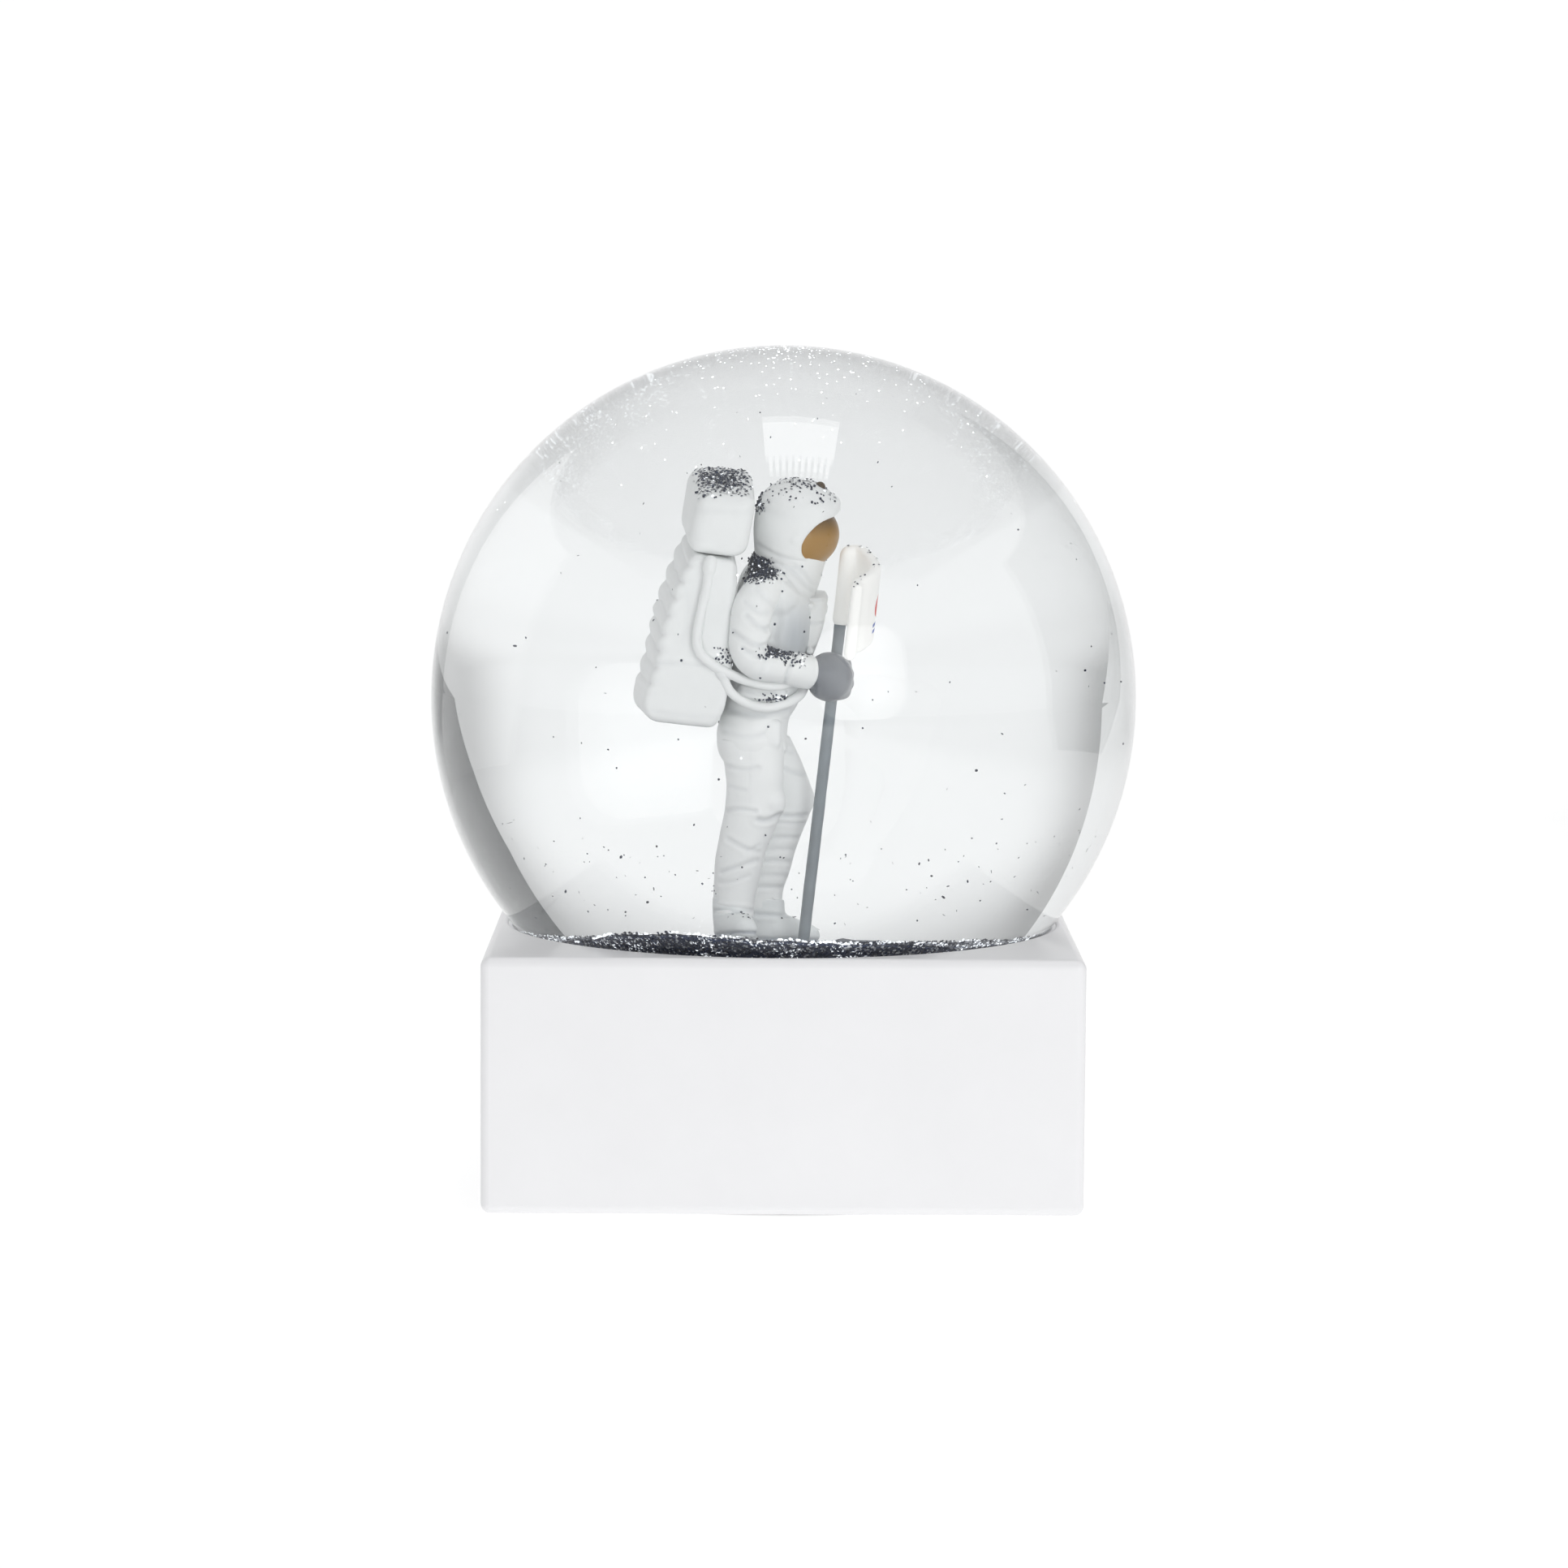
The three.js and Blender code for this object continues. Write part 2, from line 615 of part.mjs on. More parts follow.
const FIGURE_PIECES = {
  flag_pole: { shape: poleShape, meets: [], slot: "pole_grey" },
  flag: { shape: flagShape, meets: ["flag_pole"], slot: "flag_white" },
  suit_torso: { shape: (g, n) => upright(TORSO, g, n), meets: [], slot: "suit_white" },
  suit_hips: { shape: (g, n) => upright(HIPS, g, n), meets: ["suit_torso"], slot: "suit_white" },
  neck_ring: { shape: (g, n) => upright(NECK_RING, g, n), meets: ["suit_torso"], slot: "suit_white" },
  gold_visor: {
    shape: (g, n) => ellipsoid(VISOR_AT, VISOR_SIZE, VISOR_TILT, g, n),
    meets: [],
    slot: "visor_gold",
  },
  helmet: { shape: helmetShape, meets: ["gold_visor", "neck_ring"], slot: "suit_white" },
  life_support_pack: {
    shape: (g) => packSlab(LIFE_PACK, g),
    meets: ["suit_torso", "suit_hips"],
    slot: "suit_white",
  },
  oxygen_pack: {
    shape: (g) => packSlab(OXYGEN_PACK, g),
    meets: ["life_support_pack", "helmet", "neck_ring", "suit_torso"],
    slot: "suit_white",
  },
  chest_pack: {
    shape: (g, n) => upright(CHEST_PACK, g, n, CHEST_SQUARENESS),
    meets: ["suit_torso"],
    slot: "suit_white",
  },
  right_leg: { shape: (g, n) => upright(RIGHT_LEG, g, n), meets: ["suit_hips"], slot: "suit_white" },
  left_leg: {
    shape: (g, n) => upright(LEFT_LEG, g, n),
    meets: ["suit_hips", "right_leg"],
    slot: "suit_white",
  },
  right_boot: {
    shape: (g, n) => boot([-6.6, -3.7], RIGHT_TURN, g, n),
    meets: ["right_leg"],
    slot: "boot_white",
  },
  left_boot: {
    shape: (g, n) => boot([-1.9, 3.9], 0, g, n),
    meets: ["left_leg", "right_boot"],
    slot: "boot_white",
  },
  right_arm: {
    shape: (g, n) => limb(RIGHT_ARM, g, n),
    meets: ["suit_torso", "life_support_pack", "neck_ring"],
    slot: "suit_white",
  },
  left_arm: {
    shape: (g, n) => limb(LEFT_ARM, g, n),
    meets: ["suit_torso", "suit_hips", "life_support_pack", "neck_ring"],
    slot: "suit_white",
  },
  right_glove: {
    shape: (g, n) => limb(RIGHT_GLOVE, g, n),
    meets: ["right_arm", "flag_pole"],
    slot: "glove_grey",
  },
  left_glove: { shape: (g, n) => limb(LEFT_GLOVE, g, n), meets: ["left_arm"], slot: "glove_grey" },
  right_upper_hose: hosePiece(UPPER_HOSE, RIGHT, ["right_arm", "right_glove"]),
  left_upper_hose: hosePiece(UPPER_HOSE, LEFT, ["left_arm"]),
  right_lower_hose: hosePiece(LOWER_HOSE, RIGHT, ["right_arm", "right_glove", "right_upper_hose"]),
  left_lower_hose: hosePiece(LOWER_HOSE, LEFT, ["left_arm", "left_upper_hose"]),
};

function hosePiece(points, side, extra) {
  const meets = ["suit_torso", "suit_hips", "life_support_pack", "oxygen_pack", "chest_pack", ...extra];
  return { shape: (g) => hose(points, side, g), meets, slot: "suit_white" };
}

function helmetShape(grow, sides) {
  const opening = ellipsoid(FACE_OPENING, FACE_OPENING_SIZE, 0, -grow, sides);
  return cut(upright(HELMET, grow, sides), [opening]);
}

function figureMatrix() {
  const scale = new THREE.Matrix4().makeScale(FIGURE_SCALE, FIGURE_SCALE, FIGURE_SCALE);
  return new THREE.Matrix4().makeTranslation(0, 0, SOLE_Z + CLEAR).multiply(scale);
}

// The piece cut back from its neighbours. Slivers that the cuts leave loose are dropped.
function fitted(name) {
  const { shape, meets } = FIGURE_PIECES[name];
  const tools = meets.map((other) => solidOf(FIGURE_PIECES[other].shape(CLEAR)));
  return largest(tools.reduce((left, tool) => left.subtract(tool), solidOf(shape(0))));
}

function largest(solid) {
  const parts = solid.decompose();
  return parts.reduce((best, next) => (next.volume() > best.volume() ? next : best));
}

// Plain blocks that together hold the figure, which the liquid leaves free.
function figureRoom() {
  const blocks = [LEG_ROOM, BODY_ROOM, HEAD_ROOM].map((rows) =>
    upright(rows, 0, ROOM_SIDES, ROOM_SQUARENESS),
  );
  const closer = [
    packSlab(LIFE_PACK, ROOM_CLEAR),
    packSlab(OXYGEN_PACK, ROOM_CLEAR),
    poleShape(ROOM_CLEAR),
    flagShape(FLAG_ROOM_CLEAR),
  ];
  return [...blocks, ...closer].map((shape) => shape.applyMatrix4(figureMatrix()));
}

// The ball's contents above the ground and the glitter, less the room for the figure.
function liquid() {
  const wall = INNER_R - CLEAR;
  const lowZ = STOPPER_TOP_Z + LIQUID_FLOOR;
  const body = turned([
    [0, lowZ],
    ...arc(wall, BALL_Z, Math.acos((lowZ - BALL_Z) / wall), 0, BALL_STEPS),
  ]);
  const ground = turned([
    [0, lowZ - 1],
    [GROUND_R + CLEAR, lowZ - 1],
    [GROUND_R + CLEAR, RIM_Z + CLEAR],
    [GROUND_R * SLOPE_R, RIM_Z + MOUND_H * SLOPE_RISE + CLEAR],
    [GROUND_R * CROWN_R, SOLE_Z + CLEAR],
    [0, SOLE_Z + CLEAR],
  ]);
  return cut(body, [ground, glitterBed(CLEAR), ...figureRoom()]);
}

// ---------------------------------------------------------------- materials and assembly
const MATERIALS = {
  base_white: { color: 0xececee, roughness: 0.35, metalness: 0 },
  glass_clear: { color: 0xe8f2f2, roughness: 0.03, metalness: 0, transparent: true, opacity: 0.2 },
  liquid_clear: { color: 0xe6eef0, roughness: 0.02, metalness: 0, transparent: true, opacity: 0.12 },
  glitter_dark: { color: 0x39445a, roughness: 0.3, metalness: 0.8 },
  stopper_rubber: { color: 0x2b2c2e, roughness: 0.8, metalness: 0 },
  seal_silicone: { color: 0xd9dbd8, roughness: 0.5, metalness: 0 },
  ground_grey: { color: 0x5b6068, roughness: 0.85, metalness: 0 },
  suit_white: { color: 0xe6e9e8, roughness: 0.45, metalness: 0 },
  boot_white: { color: 0xdde3e3, roughness: 0.5, metalness: 0 },
  flag_white: { color: 0xe9ebec, roughness: 0.45, metalness: 0 },
  visor_gold: { color: 0x9a6a2a, roughness: 0.3, metalness: 0.5 },
  glove_grey: { color: 0x5d636b, roughness: 0.4, metalness: 0 },
  pole_grey: { color: 0x7b858c, roughness: 0.4, metalness: 0.3 },
  cover_white: { color: 0xd8d8da, roughness: 0.6, metalness: 0 },
  pad_felt: { color: 0x1f2023, roughness: 0.95, metalness: 0 },
};
const finishes = Object.fromEntries(
  Object.entries(MATERIALS).map(([slot, look]) => [slot, new THREE.MeshStandardMaterial(look)]),
);

const globe = new THREE.Group();

function place(name, geometry, slot, parent = globe) {
  const mesh = new THREE.Mesh(geometry, finishes[slot]);
  mesh.name = name;
  parent.add(mesh);
  return mesh;
}

function addShell() {
  const coverZ = PAD_T + CLEAR;
  place("base_block", baseBlock(), "base_white");
  place("base_cover", disc(COVER_R, coverZ, coverZ + COVER_T), "cover_white");
  place("base_pad", disc(COVER_R - PAD_INSET, 0, PAD_T), "pad_felt");
  place("glass_ball", glassBall(), "glass_clear");
  place("neck_seal", sealRing(), "seal_silicone");
  place("rubber_stopper", stopper(), "stopper_rubber");
  place("moon_ground", groundPlate(), "ground_grey");
  place("glitter_bed", glitterBed(), "glitter_dark");
  place("liquid_fill", liquid(), "liquid_clear");
}

function addFigure() {
  const figure = new THREE.Group();
  figure.applyMatrix4(figureMatrix());
  globe.add(figure);
  for (const [name, { slot }] of Object.entries(FIGURE_PIECES)) {
    place(name, geometryOf(fitted(name)), slot, figure);
  }
}

addShell();
addFigure();

export default globe;
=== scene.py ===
"""Snow globe: an astronaut with a flag on moon ground, in water, under a glass ball on a square base.

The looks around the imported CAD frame. Metres, +Z up, the astronaut faces +X, the front is -Y.
The figure's pieces are shaped in millimetres in the figure's own frame (soles at z = 0, X forwards,
Y to its left) and then placed.
"""

import itertools
import math

import bmesh
import bpy
import numpy as np
from mathutils import Matrix, Vector


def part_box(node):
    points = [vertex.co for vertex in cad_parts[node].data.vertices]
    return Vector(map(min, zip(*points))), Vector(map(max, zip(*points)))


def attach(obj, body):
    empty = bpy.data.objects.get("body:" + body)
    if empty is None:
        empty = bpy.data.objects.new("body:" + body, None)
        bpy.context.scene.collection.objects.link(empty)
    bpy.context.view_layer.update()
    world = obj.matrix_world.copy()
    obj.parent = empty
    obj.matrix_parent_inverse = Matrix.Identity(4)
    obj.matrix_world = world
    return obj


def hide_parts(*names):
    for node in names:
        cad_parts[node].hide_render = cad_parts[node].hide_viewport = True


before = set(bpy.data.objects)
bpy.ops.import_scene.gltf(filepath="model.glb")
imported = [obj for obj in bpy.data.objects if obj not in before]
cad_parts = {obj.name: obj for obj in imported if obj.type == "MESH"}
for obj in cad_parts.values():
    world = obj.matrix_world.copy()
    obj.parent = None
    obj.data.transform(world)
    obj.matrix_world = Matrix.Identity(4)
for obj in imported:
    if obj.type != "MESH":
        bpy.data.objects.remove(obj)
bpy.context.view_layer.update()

MM = 0.001
BODY = "root"

# The camera: its turn, tilt and roll in radians, its place in metres, its lens in millimetres
VIEW_YAW = 0.0059
VIEW_PITCH = 0.1044
VIEW_ROLL = 0.0059
VIEW_PLACE = (-0.0047, -0.8252, 0.1523)
VIEW_LENS = 111.5

# ---------------- places taken from the frame
ball_low, ball_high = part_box("glass_ball")
ground_low, ground_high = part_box("moon_ground")
bed_low, bed_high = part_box("glitter_bed")
base_low, base_high = (np.array(corner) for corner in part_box("base_block"))

CLEAR = 0.3 * MM  # between pieces that touch
BALL_R = (ball_high[0] - ball_low[0]) / 2
BALL_Z = ball_high[2] - BALL_R
LIP_Z = ball_low[2]
GROUND_R = (ground_high[0] - ground_low[0]) / 2
SOLE_Z = ground_high[2] + CLEAR
MOUND_H = (ground_high[2] - bed_high[2]) / MM - 0.6
BED_Z = ground_high[2] - 2.15 * MM
BED_EDGE_R = 44.5 * MM
BASE_W = base_high[0] - base_low[0]
BASE_EDGE = 1.6 * MM
TOP_Z = base_high[2]

# ---------------- sizes that part.mjs has too
GLASS_WALL = 2.5 * MM
INNER_R = BALL_R - GLASS_WALL
NECK_R = 38 * MM
LIP_R = 40 * MM
LIP_H = 3 * MM
LIP_EDGE = 0.8 * MM

# ---------------- sizes of the looks
BIG_SIDES = 192  # round the ball, the water and the well
FLAKE = 0.36 * MM
FLAKE_T = 0.03 * MM
EMBLEM_RUN = 9.8  # millimetres along the flag from the pole
EMBLEM_RISE = 5.2  # and up from its lower edge
EMBLEM_R = 1.7
FLAG_PAINTED_GLOW = 0.13  # painted light: the flag's paint glows faintly, to lighten its shaded side
FULL_SHADE_DEPTH = 0.9  # a crease this deep gets the most painted shade there can be
NEAR = -1
FAR = 1


# ---------------- mesh tools
def new_object(name, verts, faces):
    mesh = bpy.data.meshes.new(name)
    mesh.from_pydata(np.asarray(verts, float).tolist(), [], [tuple(f) for f in faces])
    mesh.update()
    return add_to_scene(name, mesh)


def add_to_scene(name, data):
    made = bpy.data.objects.new(name, data)
    bpy.context.scene.collection.objects.link(made)
    return made


def modify(piece, kind, **settings):
    """Gives the piece the mesh that a modifier makes of it."""
    change = piece.modifiers.new(kind.lower(), kind)
    for key, value in settings.items():
        setattr(change, key, value)
    old = piece.data
    depsgraph = bpy.context.evaluated_depsgraph_get()
    piece_now = piece.evaluated_get(depsgraph)
    mesh = bpy.data.meshes.new_from_object(piece_now)
    piece.modifiers.clear()
    piece.data = mesh
    bpy.data.meshes.remove(old)
    return piece


def cut_away(piece, tool):
    modify(piece, "BOOLEAN", operation="DIFFERENCE", object=tool)
    bpy.data.objects.remove(tool)


def rows_of(items, what, width=3):
    """One row of numbers for each vertex or face of a mesh."""
    values = np.zeros(len(items) * width)
    items.foreach_get(what, values)
    return values.reshape(-1, width)


def store(piece, name, values):
    attribute = piece.data.attributes.new(name, "FLOAT", "POINT")
    attribute.data.foreach_set("value", np.asarray(values, np.float32))


def circle(sides):
    return np.arange(sides) * 2 * math.pi / sides


def turned(profile, sides=BIG_SIDES):
    """Vertices and faces of (radius, z) points turned about Z. Points on the axis are shared."""
    verts, rings, faces = [], [], []
    for radius, z in profile:
        if radius < 1e-9:
            rings.append([len(verts)] * sides)
            verts.append((0, 0, z))
            continue
        rings.append(list(range(len(verts), len(verts) + sides)))
        verts += [(radius * math.cos(a), radius * math.sin(a), z) for a in circle(sides)]
    for low, high in zip(rings, rings[1:]):
        for i in range(sides):
            j = (i + 1) % sides
            face = list(dict.fromkeys([low[i], low[j], high[j], high[i]]))
            if len(face) > 2:
                faces.append(face)
    return verts, faces


def arc(radius, centre_z, start, end, steps):
    """(radius, z) points on a sphere, by polar angle from its top."""
    angles = np.linspace(start, end, steps + 1)
    return [(abs(radius * math.sin(a)), centre_z + radius * math.cos(a)) for a in angles]


def spline(points, steps):
    """Catmull-Rom through rows of numbers, steps between each two."""
    rows = np.asarray(points, float)
    padded = np.vstack([2 * rows[0] - rows[1], rows, 2 * rows[-1] - rows[-2]])
    out = []
    for i in range(len(rows) - 1):
        p0, p1, p2, p3 = padded[i : i + 4]
        for t in np.arange(steps) / steps:
            a = 2 * p1
            b = p2 - p0
            c = 2 * p0 - 5 * p1 + 4 * p2 - p3
            d = -p0 + 3 * p1 - 3 * p2 + p3
            out.append(0.5 * (a + b * t + c * t * t + d * t**3))
    out.append(rows[-1])
    return np.array(out)


def grid_faces(rows, across, closed=True, flip=False):
    """Quads over rows of across points each. closed joins each row's ends."""
    faces = []
    for low in range(0, (rows - 1) * across, across):
        for i in range(across if closed else across - 1):
            j = (i + 1) % across
            face = (low + i, low + j, low + across + j, low + across + i)
            faces.append((face[0], *face[:0:-1]) if flip else face)
    return faces


def ring_skin(rings):
    """A closed skin over equal rings of points, with a fan at each end."""
    sides = len(rings[0])
    verts = [tuple(p) for ring in rings for p in ring]
    faces = grid_faces(len(rings), sides)
    last = len(verts) - sides
    verts += [tuple(np.mean(rings[0], axis=0)), tuple(np.mean(rings[-1], axis=0))]
    for i in range(sides):
        j = (i + 1) % sides
        faces.append((j, i, len(verts) - 2))
        faces.append((last + i, last + j, len(verts) - 1))
    return verts, faces


def upright(rows, sides=40, power=2.2):
    """A body through (x, y, z, half-width in x, half-width in y) sections, from below."""
    c, s = np.cos(circle(sides)), np.sin(circle(sides))
    across = np.sign(c) * np.abs(c) ** (2 / power)
    along = np.sign(s) * np.abs(s) ** (2 / power)
    return ring_skin([
        np.column_stack([x + across * a, y + along * b, np.full(sides, z)])
        for x, y, z, a, b in spline(rows, 5)
    ])


def limb(joints, sides=32, steps=5, round_ends=True):
    """A tube along (x, y, z, radius) joints, with rounded ends."""
    rows = spline(joints, steps)
    points, radii = rows[:, :3], rows[:, 3]
    tangents = np.gradient(points, axis=0)
    tangents /= np.linalg.norm(tangents, axis=1)[:, None]
    side = np.array([0.0, 1.0, 0.0]) if abs(tangents[0][1]) < 0.9 else np.array([1.0, 0.0, 0.0])
    angles = circle(sides)
    rings = []
    for point, run, radius in zip(points, tangents, radii):
        u = np.cross(side, run)
        u /= np.linalg.norm(u)
        side = np.cross(run, u)
        rings.append(point + radius * (np.outer(np.cos(angles), u) + np.outer(np.sin(angles), side)))

    def cap(end, way):
        """Rings that round an end off, by how far they stand out and how much width they keep."""
        return [
            points[end] + way * tangents[end] * radii[end] * out + (rings[end] - points[end]) * keep
            for out, keep in ((0.35, 0.92), (0.7, 0.7), (0.93, 0.35))
        ]

    return ring_skin(cap(0, -1)[::-1] + rings + cap(-1, 1) if round_ends else rings)


def ellipsoid(centre, radii, tilt=0.0, sides=40):
    """tilt turns it about Y, in radians."""
    verts, faces = turned(arc(1.0, 0.0, math.pi, 0.0, sides // 2), sides)
    c, s = math.cos(tilt), math.sin(tilt)
    turn = np.array([[c, 0, s], [0, 1, 0], [-s, 0, c]])
    return (np.array(verts) * np.array(radii)) @ turn.T + np.array(centre), faces


def box_outline(low_x, high_x, low_y, high_y):
    return [(low_x, low_y), (high_x, low_y), (high_x, high_y), (low_x, high_y)]


def rounded_block(outline, half, edge, steps=4, shift=0.0):
    """A block of an (x, z) outline, half to each side of y = shift, with all edges rounded by edge."""
    shape = bmesh.new()
    front = [shape.verts.new((x, -half, z)) for x, z in outline]
    back = [shape.verts.new((x, half, z)) for x, z in outline]
    shape.faces.new(front)
    shape.faces.new(back[::-1])
    for i in range(len(outline)):
        j = (i + 1) % len(outline)
        shape.faces.new((front[i], back[i], back[j], front[j]))
    bmesh.ops.recalc_face_normals(shape, faces=shape.faces)
    bmesh.ops.bevel(
        shape, geom=shape.edges[:] + shape.verts[:], offset=edge, segments=steps, profile=0.5,
        affect="EDGES", clamp_overlap=True,
    )
    shape.verts.index_update()
    verts = [(v.co.x, v.co.y + shift, v.co.z) for v in shape.verts]
    faces = [[v.index for v in f.verts] for f in shape.faces]
    shape.free()
    return verts, faces


def lattice_noise(points, seed=0):
    """Smooth noise from -1 to 1 at each row of points, one lump per unit."""
    cell = np.floor(points)
    part = points - cell
    ease = part * part * (3 - 2 * part)
    total = np.zeros(len(points))
    for corner in itertools.product((0, 1), repeat=3):
        mixed = np.sin((cell + corner) @ np.array([127.1, 311.7, 74.7]) + seed * 19.19) * 43758.5453
        weight = np.prod(np.where(np.array(corner) == 1, ease, 1 - ease), axis=1)
        total += weight * (mixed - np.floor(mixed))
    return 2 * total - 1


def fuse(name, parts):
    """One object of several closed shapes, as they lie."""
    verts, faces = [], []
    for part_verts, part_faces in parts:
        start = len(verts)
        verts += [tuple(v) for v in part_verts]
        faces += [[start + i for i in f] for f in part_faces]
    return new_object(name, verts, faces)


def sculpt(name, parts, voxel=0.25, smooth=6, cutter=None):
    """Fuses closed shapes, in millimetres, into one even skin, less the cutter, and softens it."""
    piece = fuse(name, parts)
    modify(piece, "REMESH", mode="VOXEL", voxel_size=voxel)
    if cutter:
        cut_away(piece, fuse(name + "_cutter", [cutter]))
        modify(piece, "REMESH", mode="VOXEL", voxel_size=voxel)
    return modify(piece, "SMOOTH", factor=0.5, iterations=smooth)


def segment_distance(points, start, end):
    run = end - start
    t = np.clip((points - start) @ run / (run @ run), 0, 1)
    return np.linalg.norm(points - start - t[:, None] * run, axis=1)


def carve(piece, creases=(), lumps=0.05, lump_size=2.6, seed=1, push=None, shade=None):
    """Presses creases into a sculpted skin and gives it a hand-modelled unevenness.

    A crease is (points, width, depth) or (points, width, depth, side): a line of (x, z) points drawn
    on the figure's sides, or on one, pressed in by depth, with a soft roll beside it. How deep a
    point lies is kept as painted shade, a darker paint colour where shade falls in the crease. push
    and shade give more of each, per point; the helmet lamp uses shade for its own dark paint.
    """
    co, nor = rows_of(piece.data.vertices, "co"), rows_of(piece.data.vertices, "normal")
    fine = 0.4 * lattice_noise(co / (lump_size * 0.35), seed + 5)
    move = lumps * (lattice_noise(co / lump_size, seed) + fine)
    shade_and_dark_paint = shade(co, nor) if shade else np.zeros(len(co))
    facing = np.clip((np.abs(nor[:, 1]) - 0.05) / 0.35, 0, 1)
    for points, width, depth, *side in creases:
        on_side = facing * (np.sign(co[:, 1] - 0.01) == side[0]) if side else facing
        line = spline(points, 4) if len(points) > 2 else np.array(points, float)
        near = np.min([segment_distance(co[:, ::2], a, b) for a, b in zip(line, line[1:])], axis=0)
        dip = np.exp(-((near / width) ** 2)) * on_side
        roll = np.exp(-(((near - 1.9 * width) / width) ** 2)) * on_side
        move += -depth * dip + 0.35 * depth * roll
        shade_and_dark_paint = np.maximum(shade_and_dark_paint, dip * min(1.0, depth / FULL_SHADE_DEPTH))
    if push:
        move += push(co, nor)
    piece.data.vertices.foreach_set("co", (co + nor * move[:, None]).ravel())
    piece.data.update()
    store(piece, "shade_and_dark_paint", shade_and_dark_paint)
    return piece


def finish_piece(piece, slot, material, *nodes):
    piece.data.materials.clear()
    piece.data.materials.append(material)
    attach(piece, BODY)
    if nodes:
        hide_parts(*nodes)
    return piece


# ---------------- material tools
def new_material(name):
    material = bpy.data.materials.new(name)
    material.use_nodes = True
    material.node_tree.nodes.clear()
    return material, material.node_tree


def put(socket, value):
    """Joins an input socket to an output socket, or sets it to a number or colour."""
    if isinstance(value, bpy.types.NodeSocket):
        socket.id_data.links.new(value, socket)
    else:
        socket.default_value = (*value, 1) if socket.type == "RGBA" else value


def add(tree, kind, values=(), **settings):
    """A new node. values are for its input sockets, by name or number."""
    node = tree.nodes.new("ShaderNode" + kind)
    for key, value in settings.items():
        setattr(node, key, value)
    for key, value in dict(values).items():
        put(node.inputs[key], value)
    return node


def show(tree, shader):
    add(tree, "OutputMaterial", {"Surface": shader.outputs[0]})


def principled(tree, values):
    shader = add(tree, "BsdfPrincipled", values)
    show(tree, shader)
    return shader


def position(tree, space="Object"):
    """X, Y and Z of a point."""
    place = add(tree, "TexCoord").outputs[space]
    return add(tree, "SeparateXYZ", {"Vector": place}).outputs


def noise(tree, scale, detail=3.0, roughness=0.5):
    place = add(tree, "TexCoord").outputs["Object"]
    values = {"Vector": place, "Scale": scale, "Detail": detail, "Roughness": roughness}
    return add(tree, "TexNoise", values).outputs["Fac"]


def stored(tree, name):
    return add(tree, "Attribute", attribute_name=name).outputs["Fac"]


def ramp(tree, source, *stops):
    """A colour for each level of source, between (position, colour) stops."""
    node = add(tree, "ValToRGB", {"Fac": source})
    elements = node.color_ramp.elements
    while len(elements) < len(stops):
        elements.new(0.5)
    for element, (place, colour) in zip(elements, stops):
        element.position = place
        element.color = (*colour, 1)
    return node.outputs["Color"]


def grey(value):
    return (value, value, value)


def grey_ramp(tree, source, low, high, start=0.3, end=0.7):
    return ramp(tree, source, (start, grey(low)), (end, grey(high)))


def dimmed(colour, share):
    return tuple(min(1.0, c * share) for c in colour)


def mixed(tree, share, under, over):
    return add(tree, "Mix", {"Factor": share, "A": under, "B": over}, data_type="RGBA").outputs["Result"]


def bump(tree, source, strength, distance):
    return add(tree, "Bump", {"Height": source, "Strength": strength, "Distance": distance}).outputs["Normal"]


def measure(tree, operation, *values):
    return add(tree, "Math", enumerate(values), operation=operation).outputs["Value"]


def fade(tree, source, start, end, low, high, kind="SMOOTHSTEP"):
    """low at start to high at end, smoothly."""
    values = {"Value": source, "From Min": start, "From Max": end, "To Min": low, "To Max": high}
    return add(tree, "MapRange", values, interpolation_type=kind).outputs["Result"]


# ---------------- materials
def painted(name, colour, shade_and_dark_colour, roughness=(0.38, 0.52)):
    """Brush-painted resin: slight tone changes, painted shade (a darker colour) in the creases, a fine
    brushed grain.
    """
    material, tree = new_material(name)
    tone = noise(tree, 320.0, 4.0, 0.6)
    tint = ramp(tree, tone, (0.35, dimmed(colour, 0.97)), (0.65, colour))
    principled(tree, {
        "Base Color": mixed(tree, stored(tree, "shade_and_dark_paint"), tint, shade_and_dark_colour),
        "Roughness": grey_ramp(tree, tone, *roughness),
        "Normal": bump(tree, noise(tree, 2600.0, 2.0), 0.35, 0.04 * MM),
    })
    return material


def flag_paint():
    """White paint with a plain red disc over two blue bars on the flag's outer face."""
    material = painted("flag_paint", (0.97, 0.965, 0.94), (0.7, 0.7, 0.71))
    tree = material.node_tree
    shader = next(n for n in tree.nodes if n.type == "BSDF_PRINCIPLED")
    face = measure(tree, "GREATER_THAN", stored(tree, "flag_outer"), 0.35)
    over = measure(tree, "SUBTRACT", stored(tree, "flag_run"), EMBLEM_RUN)
    up = measure(tree, "SUBTRACT", stored(tree, "flag_rise"), EMBLEM_RISE)
    squares = [measure(tree, "MULTIPLY", side, side) for side in (over, up)]
    reach = measure(tree, "SQRT", measure(tree, "ADD", *squares))
    disc = measure(tree, "MULTIPLY", face, measure(tree, "LESS_THAN", reach, EMBLEM_R))
    width = measure(tree, "LESS_THAN", measure(tree, "ABSOLUTE", over), EMBLEM_R * 1.1)
    lines = []
    for drop in (EMBLEM_R + 0.7, EMBLEM_R + 1.5):
        off = measure(tree, "ABSOLUTE", measure(tree, "ADD", up, drop))
        lines.append(measure(tree, "LESS_THAN", off, 0.24))
    bars = measure(tree, "MULTIPLY", measure(tree, "MAXIMUM", *lines), measure(tree, "MULTIPLY", width, face))
    colour = shader.inputs["Base Color"].links[0].from_socket
    colour = mixed(tree, disc, colour, (0.66, 0.03, 0.025))
    colour = mixed(tree, bars, colour, (0.05, 0.12, 0.42))
    put(shader.inputs["Base Color"], colour)
    # Painted light: the paint glows faintly in its own colours, to lighten the flag's shaded side.
    put(shader.inputs["Emission Color"], colour)
    put(shader.inputs["Emission Strength"], FLAG_PAINTED_GLOW)
    return material


